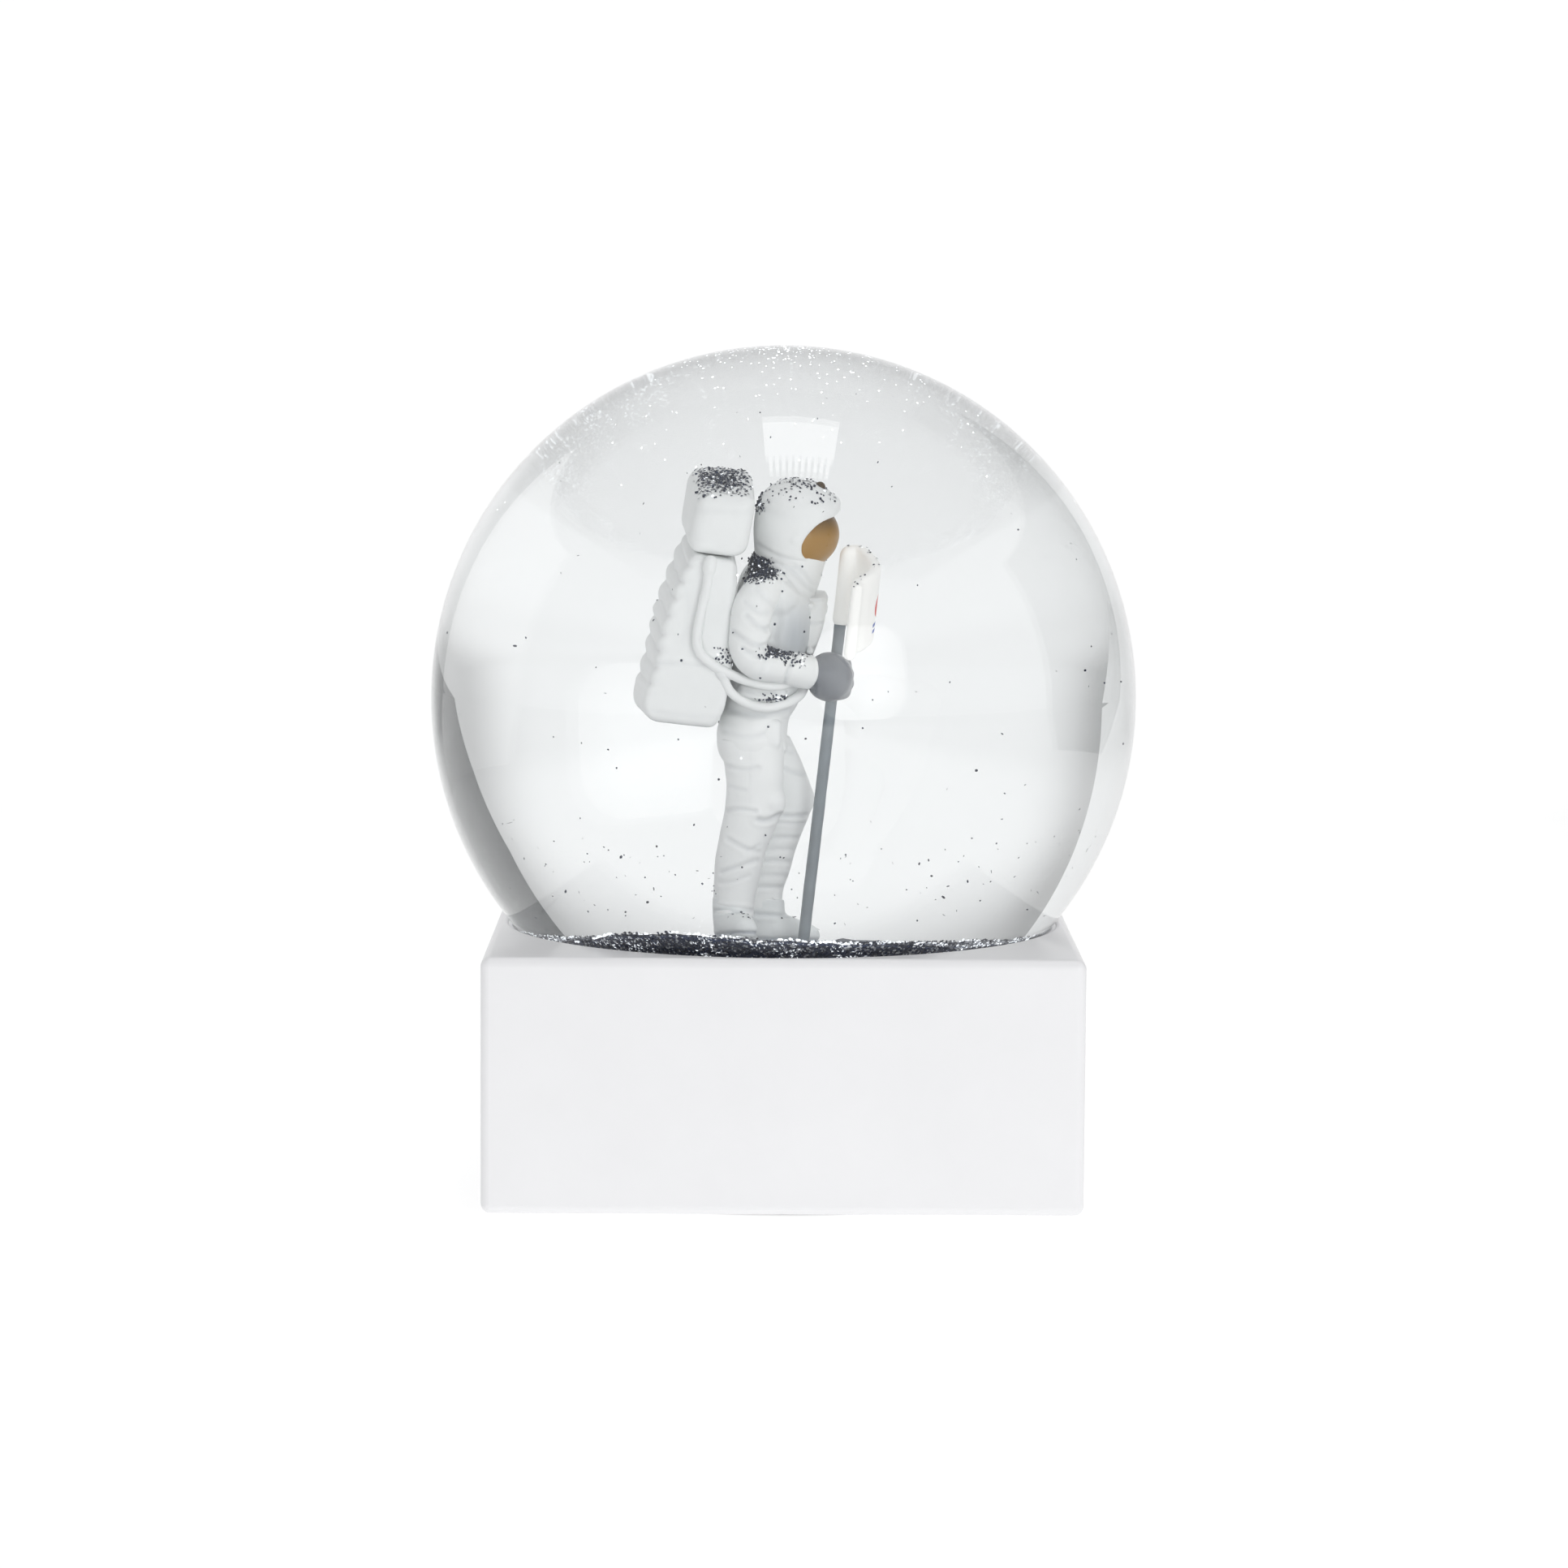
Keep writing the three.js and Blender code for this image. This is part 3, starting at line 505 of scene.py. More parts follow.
def clear_medium(name, ior, colour):
    """Glass or water. Lamps' light passes it straight, so that what is inside is lit."""
    material, tree = new_material(name)
    values = {"Roughness": 0.0, "IOR": ior, "Base Color": colour, "Transmission Weight": 1.0}
    shader = add(tree, "BsdfPrincipled", values)
    path = add(tree, "LightPath").outputs
    straight = measure(tree, "MAXIMUM", path["Is Shadow Ray"], path["Is Diffuse Ray"])
    clear = add(tree, "BsdfTransparent")
    show(tree, add(tree, "MixShader", {0: straight, 1: shader.outputs[0], 2: clear.outputs[0]}))
    return material


def base_material():
    material, tree = new_material("satin_white_resin")
    tone = noise(tree, 60.0, 4.0, 0.6)
    principled(tree, {
        "Base Color": ramp(tree, tone, (0.3, (0.83, 0.83, 0.84)), (0.7, (0.85, 0.85, 0.86))),
        "Roughness": grey_ramp(tree, tone, 0.30, 0.40),
        "Normal": bump(tree, noise(tree, 900.0, 3.0, 0.6), 0.25, 0.05 * MM),
        "Coat Weight": 0.15,
        "Coat Roughness": 0.15,
    })
    return material


def plain_material(name, colour, roughness, scale, depth, spread=0.12, sheen=0.0):
    """Moulded or pressed stock: a fine texture with slight colour and roughness changes."""
    material, tree = new_material(name)
    tone = noise(tree, scale, 5.0, 0.6)
    principled(tree, {
        "Base Color": ramp(tree, tone, (0.3, dimmed(colour, 1 - spread)), (0.7, dimmed(colour, 1 + spread))),
        "Roughness": grey_ramp(tree, tone, roughness * 0.85, min(1, roughness * 1.1)),
        "Normal": bump(tree, tone, 0.6, depth),
        "Sheen Weight": sheen,
    })
    return material


def glitter_material(name, dark, bright_share):
    """Foil flakes: each facet of the pattern has its own tone and tilt, and some flash bright."""
    material, tree = new_material(name)
    place = add(tree, "TexCoord").outputs["Object"]
    cells = add(tree, "TexVoronoi", {"Vector": place, "Scale": 2600.0}).outputs["Color"]
    own = add(tree, "SeparateColor", {"Color": cells}).outputs
    edge = 1.0 - bright_share
    stops = [(0.0, dark), (edge - 0.08, dimmed(dark, 1.8))]
    stops += [(edge, (0.75, 0.78, 0.82)), (1.0, (0.95, 0.96, 1.0))]
    principled(tree, {
        "Metallic": 0.85,
        "Base Color": ramp(tree, own["Red"], *stops),
        "Roughness": grey_ramp(tree, own["Green"], 0.16, 0.42, 0.0, 1.0),
        "Normal": bump(tree, own["Blue"], 1.0, 0.25 * MM),
    })
    return material


def foil_material(name, dark, mid, light, glint_glow):
    """Loose foil flakes, each with its own tone, on both sides alike. The brightest tones glow: painted
    glints.
    """
    material, tree = new_material(name)
    tone = stored(tree, "tone")
    principled(tree, {
        "Metallic": 0.35,
        "Base Color": ramp(tree, tone, (0.0, dark), (0.7, mid), (0.78, light), (1.0, light)),
        "Roughness": grey_ramp(tree, noise(tree, 4000.0, 2.0), 0.2, 0.36),
        # Painted glints: only the top tones glow.
        "Emission Color": ramp(tree, tone, (0.74, grey(0.0)), (0.78, light)),
        "Emission Strength": glint_glow,
    })
    return material


# The second colour of each paint is painted shade, which carve lays in creases and where shade falls; the
# helmet lamp wears the visor's as its own dark paint.
WHITE_PAINT = painted("suit_paint", (0.93, 0.945, 0.94), (0.48, 0.51, 0.54))
BOOT_PAINT = painted("boot_paint", (0.86, 0.89, 0.89), (0.30, 0.34, 0.40))
FLAG_PAINT = flag_paint()
GLOVE_PAINT = painted("glove_paint", (0.125, 0.14, 0.165), (0.045, 0.055, 0.075), roughness=(0.24, 0.38))
VISOR_PAINT = painted("visor_paint", (0.40, 0.215, 0.045), (0.06, 0.035, 0.012), roughness=(0.24, 0.40))
BASE_RESIN = base_material()
GLASS = clear_medium("clear_glass", 1.5, (0.99, 0.995, 0.995))
WATER = clear_medium("clear_water", 1.333, (0.925, 0.934, 0.937))
GROUND_PAINT = plain_material("moon_dust_paint", (0.20, 0.21, 0.23), 0.85, 700.0, 0.3 * MM, spread=0.3)
BED_GLITTER = glitter_material("settled_glitter", (0.018, 0.03, 0.07), 0.12)
# Both foils glow at their top tones: painted glints, though the flakes are no lamps.
FLAKE_FOIL = foil_material("dark_foil", (0.008, 0.012, 0.03), (0.03, 0.045, 0.09), (0.9, 0.93, 0.96), 1.0)
SPARKLE_FOIL = foil_material("bright_foil", (0.8, 0.82, 0.85), (0.85, 0.88, 0.9), (0.95, 0.97, 1.0), 2.6)
RUBBER = plain_material("black_rubber", (0.035, 0.036, 0.04), 0.75, 500.0, 0.05 * MM)
SILICONE = plain_material("clear_silicone", (0.72, 0.73, 0.71), 0.45, 300.0, 0.08 * MM, spread=0.04)
COVER_PLASTIC = plain_material("cover_plastic", (0.72, 0.72, 0.73), 0.6, 900.0, 0.06 * MM, spread=0.03)
FELT = plain_material("black_felt", (0.022, 0.023, 0.026), 0.95, 1800.0, 0.4 * MM, spread=0.5, sheen=0.6)
POLE_PAINT = plain_material("pole_paint", (0.20, 0.235, 0.26), 0.38, 420.0, 0.06 * MM, spread=0.14)


# ---------------- base
def paint_cad_nodes():
    """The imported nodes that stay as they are."""
    for node, material in (
        ("base_cover", COVER_PLASTIC),
        ("base_pad", FELT),
        ("neck_seal", SILICONE),
        ("rubber_stopper", RUBBER),
    ):
        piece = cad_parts[node]
        piece.data.materials.clear()
        piece.data.materials.append(material)


def make_base_block():
    """The block with finely rounded edges, its round well for the ball and the hollow below."""
    outline = box_outline(-BASE_W / 2, BASE_W / 2, base_low[2], TOP_Z)
    piece = new_object("base_block_resin", *rounded_block(outline, BASE_W / 2, BASE_EDGE, 7))
    seat = BALL_R + CLEAR
    bore = LIP_R + 1.5 * MM
    cavity = bore + 2 * MM
    cover = BASE_W / 2 - 2.7 * MM
    deck = TOP_Z - 14 * MM
    ledge = base_low[2] + 3.8 * MM
    under = base_low[2] - 1 * MM
    over = TOP_Z + 1 * MM
    rim = 0.7 * MM
    well = math.sqrt(seat**2 - (TOP_Z - BALL_Z) ** 2)
    rim_foot = math.acos((TOP_Z - rim - BALL_Z) / seat)
    rim_turns = np.linspace(0.2, 1.5, 6)
    profile = [
        (0.0, under),
        (cover, under),
        (cover, ledge),
        (cavity, ledge),
        (cavity, deck - 2 * MM),
        (bore, deck),
        *arc(seat, BALL_Z, math.pi - math.asin(bore / seat), rim_foot, 14),
        *[(well + rim * (1 - math.cos(a)) * 1.2, TOP_Z - rim + rim * math.sin(a)) for a in rim_turns],
        (well + 2 * rim, over),
        (0.0, over),
    ]
    cut_away(piece, new_object("well_cutter", *turned(profile)))
    piece.data.shade_smooth()
    piece.data.set_sharp_from_angle(angle=math.radians(35))
    even = piece.modifiers.new("even", "WEIGHTED_NORMAL")
    even.keep_sharp = True
    even.weight = 100
    finish_piece(piece, "base_white", BASE_RESIN, "base_block")


# ---------------- ground and settled glitter
CRATERS = [
    # x, y, radius and depth in millimetres, round the figure
    (12.5, -13.0, 4.2, 0.9),
    (-15.5, -15.0, 5.0, 1.0),
    (20.0, 8.0, 5.2, 1.1),
    (-22.5, 4.0, 4.4, 0.9),
    (3.0, 20.0, 6.0, 1.2),
    (-12.0, 21.0, 3.4, 0.7),
    (24.5, -7.0, 2.8, 0.6),
    (-3.0, -23.0, 3.6, 0.8),
    (14.5, 22.0, 2.6, 0.6),
    (-26.0, -9.0, 2.8, 0.6),
]


def flat_noise(x, y, lump, seed):
    return lattice_noise(np.column_stack([x, y, np.zeros(len(x))]) / lump, seed)


def ground_height(x, y):
    """Height of the moon ground in millimetres above the plate's rim."""
    r = np.hypot(x, y)
    height = MOUND_H * np.interp(r / (GROUND_R / MM), [0, 0.42, 0.62, 0.955, 1.0], [1, 1, 0.45, 0, -0.5])
    for lump, rise, seed in ((5.0, 0.22, 101), (1.7, 0.10, 103), (0.6, 0.05, 107)):
        height = height + rise * flat_noise(x, y, lump, seed)
    for cx, cy, radius, depth in CRATERS:
        far = np.hypot(x - cx, y - cy) / radius
        bowl = depth * np.clip(1 - far**2, 0, None) * 1.1
        wall = 0.4 * depth * np.exp(-(((far - 1.05) / 0.22) ** 2))
        height = height - bowl + wall
    away = np.clip((r - 8.0) / 4.0, 0, 1)  # the ground is even under the feet
    return away * height + (1 - away) * MOUND_H


def make_ground():
    """A closed round body with a flat underside and a cratered top."""
    rim_z = ground_high[2] - MOUND_H * MM
    low = ground_low[2] + 3.2 * MM
    sides = 220
    radii = np.linspace(0.0, GROUND_R, 90)[1:]

    def top(x, y):
        return rim_z + 0.25 * MM + ground_height(x / MM, y / MM) * MM

    flat = np.array([(r * math.cos(a), r * math.sin(a)) for r in radii for a in circle(sides)])
    verts = [(x, y, z) for (x, y), z in zip(flat, top(*flat.T))]
    verts += [(x, y, low) for x, y in flat[-sides:]]
    verts += [(0, 0, top(np.zeros(1), np.zeros(1))[0]), (0, 0, low)]
    faces = grid_faces(len(radii) + 1, sides, flip=True)
    last = len(radii) * sides
    for i in range(sides):
        j = (i + 1) % sides
        faces.append((len(verts) - 2, i, j))
        faces.append((last + j, last + i, len(verts) - 1))
    piece = new_object("moon_dust_ground", verts, faces)
    piece.data.shade_smooth()
    return finish_piece(piece, "ground_grey", GROUND_PAINT, "moon_ground")


def bed_line(x, y):
    """Height of the glitter bed's surface: it slopes down to the right, and at both sides to the glass."""
    lumps = 0.34 * flat_noise(x / MM, y / MM, 4.0, 211) + 0.20 * flat_noise(x / MM, y / MM, 1.3, 223)
    aside = x / MM
    drop = np.clip(0.3 + 0.045 * aside + 0.014 * np.clip(np.abs(aside) - 17, 0, None) ** 2, None, 3.4)
    outward = np.clip((np.hypot(x, y) - GROUND_R) / (BED_EDGE_R - GROUND_R), 0, 1)
    return BED_Z + MM * (lumps * (0.4 + 0.6 * outward) - drop * outward**1.5)


def make_bed():
    """The ring of settled glitter between the ground and the glass."""
    inner = GROUND_R - 0.6 * MM
    wall = INNER_R - 0.12 * MM
    low = bed_low[2] + 0.1 * MM
    sides = 360
    c, s = np.cos(circle(sides)), np.sin(circle(sides))
    edge_z = bed_line(BED_EDGE_R * c, BED_EDGE_R * s)
    edge_r = np.sqrt(wall**2 - (edge_z - BALL_Z) ** 2)
    rings = []
    for share in np.linspace(0, 1, 22):
        r = inner + (edge_r - inner) * share
        rings.append(np.column_stack([r * c, r * s, bed_line(r * c, r * s)]))
    last_z = rings[-1][:, 2]
    for share in np.linspace(0, 1, 12)[1:]:
        z = last_z + (low - last_z) * share
        r = np.sqrt(wall**2 - (z - BALL_Z) ** 2)
        rings.append(np.column_stack([r * c, r * s, z]))
    rings.append(np.column_stack([inner * c, inner * s, np.full(sides, low)]))
    verts = np.vstack(rings)
    around = grid_faces(len(rings) + 1, sides, flip=True)
    piece = new_object("settled_glitter", verts, [[i % len(verts) for i in face] for face in around])
    piece.data.shade_smooth()
    finish_piece(piece, "glitter_dark", BED_GLITTER, "glitter_bed")


# ---------------- loose glitter
class Flakes:
    """Hexagonal flakes of foil, gathered to be made as one mesh. Metres."""

    def __init__(self, seed):
        self.random = np.random.default_rng(seed)
        self.places, self.faces_to, self.sizes, self.tones = [], [], [], []

    def add(self, places, faces_to, tilt, size, bright=0.0):
        """tilt is how far a flake leans from the surface it lies on, as a share of its normal."""
        count = len(places)
        lean = np.asarray(faces_to) + tilt * self.random.normal(size=(count, 3))
        self.places.append(np.asarray(places, float))
        self.faces_to.append(lean / np.linalg.norm(lean, axis=1)[:, None])
        self.sizes.append(size * self.random.uniform(0.75, 1.15, count))
        clusters = lattice_noise(np.asarray(places) / (2.2 * MM), 307)
        luck = 0.5 + 0.5 * (self.random.uniform(size=count) - 0.5) + 1.5 * clusters * (bright > 0.1)
        shine = luck > np.quantile(luck, 1 - bright) if bright else np.zeros(count, bool)
        # Shining flakes take the top tone, which the foils make glow as a painted glint.
        self.tones.append(np.where(shine, 0.9, 0.7 * self.random.uniform(size=count)))

    def make(self, name, material):
        place, normal = np.vstack(self.places), np.vstack(self.faces_to)
        size, tone = np.concatenate(self.sizes), np.concatenate(self.tones)
        count = len(place)
        side = np.cross(normal, self.random.normal(size=(count, 3)))
        side /= np.linalg.norm(side, axis=1)[:, None]
        third = np.cross(normal, side)
        thick = FLAKE_T / 2 * normal
        verts = np.zeros((count, 12, 3))
        for corner, a in enumerate(circle(6)):
            reach = (size[:, None] / 2) * (math.cos(a) * side + math.sin(a) * third)
            verts[:, corner] = place + reach - thick
            verts[:, corner + 6] = place + reach + thick
        start = (np.arange(count) * 12)[:, None]
        low = start + np.arange(6)[::-1]
        high = start + np.arange(6, 12)
        walls = [start + np.array([i, (i + 1) % 6, (i + 1) % 6 + 6, i + 6]) for i in range(6)]
        faces = low.tolist() + high.tolist() + np.vstack(walls).tolist()
        piece = new_object(name, verts.reshape(-1, 3), faces)
        store(piece, "tone", np.repeat(tone, 12))
        finish_piece(piece, "glitter_dark", material)


def upward(normals, least):
    """How far a face looks up, from 0 where its normal rises by least or less, to 1."""
    return np.clip((normals[:, 2] - least) / (1 - least), 0, 1)


def heap(place, spread, least=None, thin=0.0):
    """A heap of flakes at a place in the figure's millimetres, with a thin share of them all round."""

    def weight(points, normals):
        near = np.exp(-(((points - place) / spread) ** 2).sum(axis=1))
        return (near + thin) * (1 if least is None else upward(normals, least))

    return weight


def settle(flakes, piece, count, weight, size=FLAKE, tilt=0.3, bright=0.03):
    """Scatters flakes on a piece. weight(centres in the figure's millimetres, normals) says how dense."""
    polygons = piece.data.polygons
    centres, normals = rows_of(polygons, "center"), rows_of(polygons, "normal")
    local = (centres - np.array([0, 0, SOLE_Z])) / MM
    odds = rows_of(polygons, "area", 1)[:, 0] * np.clip(weight(local, normals), 0, None)
    picks = flakes.random.choice(len(polygons), size=count, p=odds / odds.sum())
    jitter = flakes.random.normal(size=(count, 3)) * 0.08 * MM
    places = centres[picks] + jitter + normals[picks] * (0.04 * MM)
    flakes.add(places, normals[picks], tilt, size, bright)


HEAPS = [
    # piece, flakes, how they lean, and the heap: place, spread, least rise of the faces, thin share
    ("oxygen_pack", 900, 0.3, (-8.0, 1.5, 60), (2.8, 5.5, 9), 0.6, 0.12),
    ("helmet", 110, 0.7, (-3.6, -2.2, 57.8), (0.8, 3.0, 0.9)),
    ("helmet", 190, 0.3, (3.0, -1.0, 60), (3.5, 3.5, 9), 0.45, 0.35),
    ("trunk", 1300, 0.8, (-3.9, -5.0, 50.6), (1.3, 2.4, 2.0), -0.4),
    ("trunk", 200, 0.8, (-3.4, 5.6, 50.0), (2.0, 2.2, 2.4), 0.0),
    ("right_arm", 700, 0.6, (-3.2, -6.6, 49.2), (1.8, 2.2, 0.9), -0.1),
    ("right_arm", 420, 0.3, (-1.4, -10.0, 39.1), (1.7, 1.8, 0.55), -0.2),
    ("right_arm", 70, 0.3, (1.2, -9.4, 37.9), (1.7, 1.6, 0.9), 0.0),
    ("life_pack", 60, 0.3, (-7.6, -9.0, 38.4), (1.2, 1.5, 0.9), None, 0.0006),
    ("trunk", 90, 0.3, (-1.2, -7.0, 32.6), (1.6, 1.5, 0.35), None, 0.0008),
]
STRAYS = [("right_leg", 9), ("left_leg", 9), ("right_arm", 12), ("trunk", 16), ("life_pack", 10)]


def make_flakes(on, ground):
    """Glitter on the figure and the ground."""
    flakes = Flakes(5)
    for piece, count, tilt, *where in HEAPS:
        settle(flakes, on[piece], count, heap(*where), tilt=tilt)
    settle(flakes, on["flag"], 22, lambda points, normals: upward(normals, 0.6))
    for piece, count in STRAYS:
        settle(flakes, on[piece], count, lambda points, normals: np.ones(len(points)), size=0.32 * MM)
    for piece in ("right_boot", "left_boot"):
        settle(flakes, on[piece], 26, lambda points, normals: upward(normals, 0.3))

    def outwards(points, normals):
        """Denser on the slopes towards the plate's edge."""
        return upward(normals, 0.5) * (0.25 + np.clip((np.hypot(points[:, 0], points[:, 1]) - 18) / 14, 0, 1))

    settle(flakes, ground, 5200, outwards, tilt=0.4, bright=0.12)
    flakes.make("glitter_flakes", FLAKE_FOIL)


def make_bed_flakes():
    flakes = Flakes(6)
    count = 4200  # on top
    angle = flakes.random.uniform(0, 2 * math.pi, count)
    radius = np.sqrt(flakes.random.uniform((GROUND_R - MM) ** 2, (BED_EDGE_R - 0.4 * MM) ** 2, count))
    x, y = radius * np.cos(angle), radius * np.sin(angle)
    flat = np.column_stack([x, y, bed_line(x, y) + flakes.random.uniform(-0.05, 0.35, count) * MM])
    flakes.add(flat, np.tile([0, 0, 1.0], (count, 1)), 0.6, FLAKE * 1.1, 0.45)

    count = 7600  # against the glass
    angle = flakes.random.uniform(0, 2 * math.pi, count)
    c, s = np.cos(angle), np.sin(angle)
    top = bed_line(BED_EDGE_R * c, BED_EDGE_R * s) + 0.25 * MM
    z = top - flakes.random.uniform(0, 1, count) ** 1.2 * 3.8 * MM
    wall = INNER_R - 0.16 * MM
    r = np.sqrt(wall**2 - (z - BALL_Z) ** 2) - flakes.random.uniform(0, 0.25, count) * MM
    places = np.column_stack([r * c, r * s, z])
    out = (places - np.array([0, 0, BALL_Z])) / wall
    for share, chosen in ((0.56, r * c < 14 * MM), (0.2, r * c >= 14 * MM)):
        flakes.add(places[chosen], out[chosen], 0.45, FLAKE * 1.5, share)
    flakes.make("bed_flakes", FLAKE_FOIL)


def make_drifting_flakes():
    """Dark flakes adrift, more of them low down, and pale flakes near the top of the ball that glow as
    painted glints.
    """
    flakes = Flakes(7)
    middle = np.array([0, 0, BALL_Z])
    inside = INNER_R - 1.2 * MM
    places = []
    while len(places) < 170:
        spread = flakes.random.uniform(-1, 1, 3)
        if np.linalg.norm(spread) > 1:
            continue
        z = spread[2]
        if z < -0.53 or flakes.random.uniform() > 0.16 + 0.84 * np.clip((-z - 0.25) / 0.28, 0, 1):
            continue
        places.append(spread * inside + middle)
    flakes.add(places, flakes.random.normal(size=(len(places), 3)), 0.1, 0.30 * MM)
    count = 130  # low down, near the glass
    angle = flakes.random.uniform(0, 2 * math.pi, count)
    rise = inside * flakes.random.uniform(-0.5, -0.33, count)
    r = np.sqrt((INNER_R - 0.3 * MM) ** 2 - rise**2)
    low = np.column_stack([r * np.cos(angle), r * np.sin(angle), BALL_Z + rise])
    flakes.add(low, low - middle, 0.2, 0.30 * MM)
    flakes.make("drifting_flakes", FLAKE_FOIL)

    sparkles = Flakes(8)
    count = 420
    angle = sparkles.random.uniform(0, 2 * math.pi, count)
    polar = sparkles.random.normal(0.0, 0.36, count)
    reach = (INNER_R - 0.5 * MM) * sparkles.random.uniform(0.93, 1.0, count)
    out = reach * np.sin(polar)
    places = np.column_stack([out * np.cos(angle), out * np.sin(angle), BALL_Z + reach * np.cos(polar)])
    sparkles.add(places, sparkles.random.normal(size=(count, 3)), 0.1, 0.34 * MM, 1.0)
    sparkles.make("drifting_sparkles", SPARKLE_FOIL)


# ---------------- glass and water
def make_glass():
    neck_inner = NECK_R - GLASS_WALL
    profile = [
        (neck_inner, LIP_Z),
        (LIP_R - LIP_EDGE, LIP_Z),
        (LIP_R, LIP_Z + LIP_EDGE),
        (LIP_R, LIP_Z + LIP_H - LIP_EDGE),
        (NECK_R, LIP_Z + LIP_H + 0.6 * MM),
        *arc(BALL_R, BALL_Z, math.pi - math.asin(NECK_R / BALL_R), 0.0, 96),
        *arc(INNER_R, BALL_Z, 0.0, math.pi - math.asin(neck_inner / INNER_R), 96),
    ]
    verts, faces = turned(profile)
    last = len(verts) - BIG_SIDES
    for i in range(BIG_SIDES):
        j = (i + 1) % BIG_SIDES
        faces.append((last + i, last + j, j, i))
    piece = new_object("glass_ball_clear", verts, faces)
    piece.data.shade_smooth()
    finish_piece(piece, "glass_clear", GLASS, "glass_ball")


def make_water():
    """It overlaps the glass a little, so that no film of air shows between them."""
    wall = INNER_R + 0.06 * MM
    low = ground_high[2] - 9 * MM
    profile = [(0.0, low), *arc(wall, BALL_Z, math.acos((low - BALL_Z) / wall), 0.0, 120)]
    piece = new_object("water", *turned(profile))
    piece.data.shade_smooth()
    finish_piece(piece, "liquid_clear", WATER, "liquid_fill")


# ---------------- the astronaut's suit
# In millimetres in the figure's frame. Uprights are (x, y, z, half-width in x, half-width in y), limbs
# are (x, y, z, radius), and outlines are (x, z).
TRUNK = [
    (-4.0, 0, 22.6, 2.6, 5.0),
    (-4.1, 0, 24.8, 4.1, 6.7),
    (-4.0, 0, 27.5, 4.5, 7.0),
    (-3.6, 0, 29.6, 4.4, 6.7),
    (-2.9, 0, 31.2, 4.7, 6.4),
    (-2.2, 0, 33.5, 4.9, 6.7),
    (-1.6, 0, 38.0, 5.1, 7.2),
    (-1.2, 0, 43.0, 5.2, 7.4),
    (-1.0, 0, 46.2, 4.9, 6.9),
    (-0.5, 0, 48.4, 4.4, 5.4),
    (0.3, 0, 50.4, 4.6, 4.9),
]
COLLAR = [
    (0.1, 0, 44.8, 3.7, 6.0),
    (0.1, 0, 46.4, 4.2, 5.9),
    (0.4, 0, 48.2, 4.5, 5.4),
    (0.7, 0, 50.0, 4.7, 5.3),
    (0.9, 0, 51.2, 4.6, 5.4),
]
CHEST_BOX = [
    (2.4, 0, 36.9, 0.9, 3.3),
    (3.0, 0, 38.7, 1.1, 3.6),
    (3.7, 0, 42.0, 1.5, 3.9),
    (3.9, 0, 45.5, 1.5, 3.9),
]
RIGHT_LEG = [
    (-6.3, -3.7, 3.4, 2.5, 2.7),
    (-6.3, -3.7, 6.2, 2.7, 2.8),
    (-5.9, -3.7, 9.0, 3.0, 3.0),
    (-5.5, -3.7, 12.0, 3.2, 3.2),
    (-4.6, -3.7, 15.1, 3.5, 3.3),
    (-3.9, -3.7, 17.7, 3.7, 3.4),
    (-3.7, -3.7, 21.0, 3.7, 3.4),
    (-3.8, -3.6, 24.0, 3.9, 3.4),
    (-4.0, -3.3, 27.0, 4.2, 3.5),
]
LEFT_LEG = [
    (-2.5, 3.9, 4.6, 2.5, 2.6),
    (-2.4, 3.9, 7.5, 2.5, 2.7),
    (-1.7, 3.9, 10.0, 2.7, 2.9),
    (-1.2, 3.9, 12.4, 2.8, 3.0),
    (-0.5, 3.9, 15.0, 3.0, 3.1),
    (0.2, 3.9, 17.2, 3.2, 3.3),
    (0.5, 3.9, 19.4, 3.3, 3.3),
    (-0.4, 3.9, 22.4, 3.3, 3.3),
    (-1.8, 3.6, 25.0, 3.6, 3.4),
    (-2.8, 3.4, 27.0, 3.6, 3.4),
]
RIGHT_ARM = [
    (-1.6, -5.0, 47.0, 2.6),
    (-3.2, -7.6, 46.5, 2.65),
    (-4.3, -9.0, 44.6, 2.75),
    (-4.6, -9.6, 41.8, 2.7),
    (-4.7, -9.8, 39.3, 2.55),
    (-3.5, -9.6, 37.6, 2.3),
    (-1.3, -8.8, 37.0, 2.15),
    (1.4, -7.6, 36.5, 2.05),
    (3.0, -6.7, 36.1, 1.95),
]
LEFT_ARM = [
    (-1.6, 5.0, 47.0, 2.6),
    (-2.6, 7.8, 46.2, 2.7),
    (-3.2, 9.2, 44.0, 2.8),
    (-3.4, 9.9, 40.6, 2.75),
    (-3.3, 10.0, 37.0, 2.6),
    (-3.0, 10.0, 33.0, 2.4),
    (-2.7, 9.9, 30.2, 2.2),
]
UPPER_HOSE = [
    (-10.0, 9.5, 51.2),
    (-10.6, 9.7, 47.0),
    (-11.3, 9.8, 43.7),
    (-11.7, 9.8, 40.6),
    (-11.0, 9.7, 38.6),
    (-9.2, 9.4, 37.1),
    (-7.2, 9.0, 36.0),
    (-4.5, 8.3, 34.9),
    (-1.4, 7.6, 34.3),
    (1.2, 6.2, 34.9),
    (3.4, 4.0, 36.4),
]
LOWER_HOSE = [
    (-8.3, 8.9, 36.4),
    (-7.8, 8.7, 34.9),
    (-6.8, 8.4, 33.3),
    (-4.6, 7.9, 31.9),
    (-2.1, 7.2, 31.4),
    (0.3, 6.3, 31.9),
    (2.0, 5.0, 32.8),
    (2.7, 3.4, 34.0),
]
HOSE_R = 0.66
PACK_HALF_W = 9.0
LIFE_PACK = [
    (-6.3, 50.9),
    (-12.4, 52.2),
    (-14.4, 47.5),
    (-16.2, 42.0),
    (-17.4, 36.0),
    (-18.7, 32.4),
    (-18.6, 30.7),
    (-17.4, 29.5),
    (-9.2, 28.7),
    (-7.8, 31.0),
    (-6.9, 36.0),
]
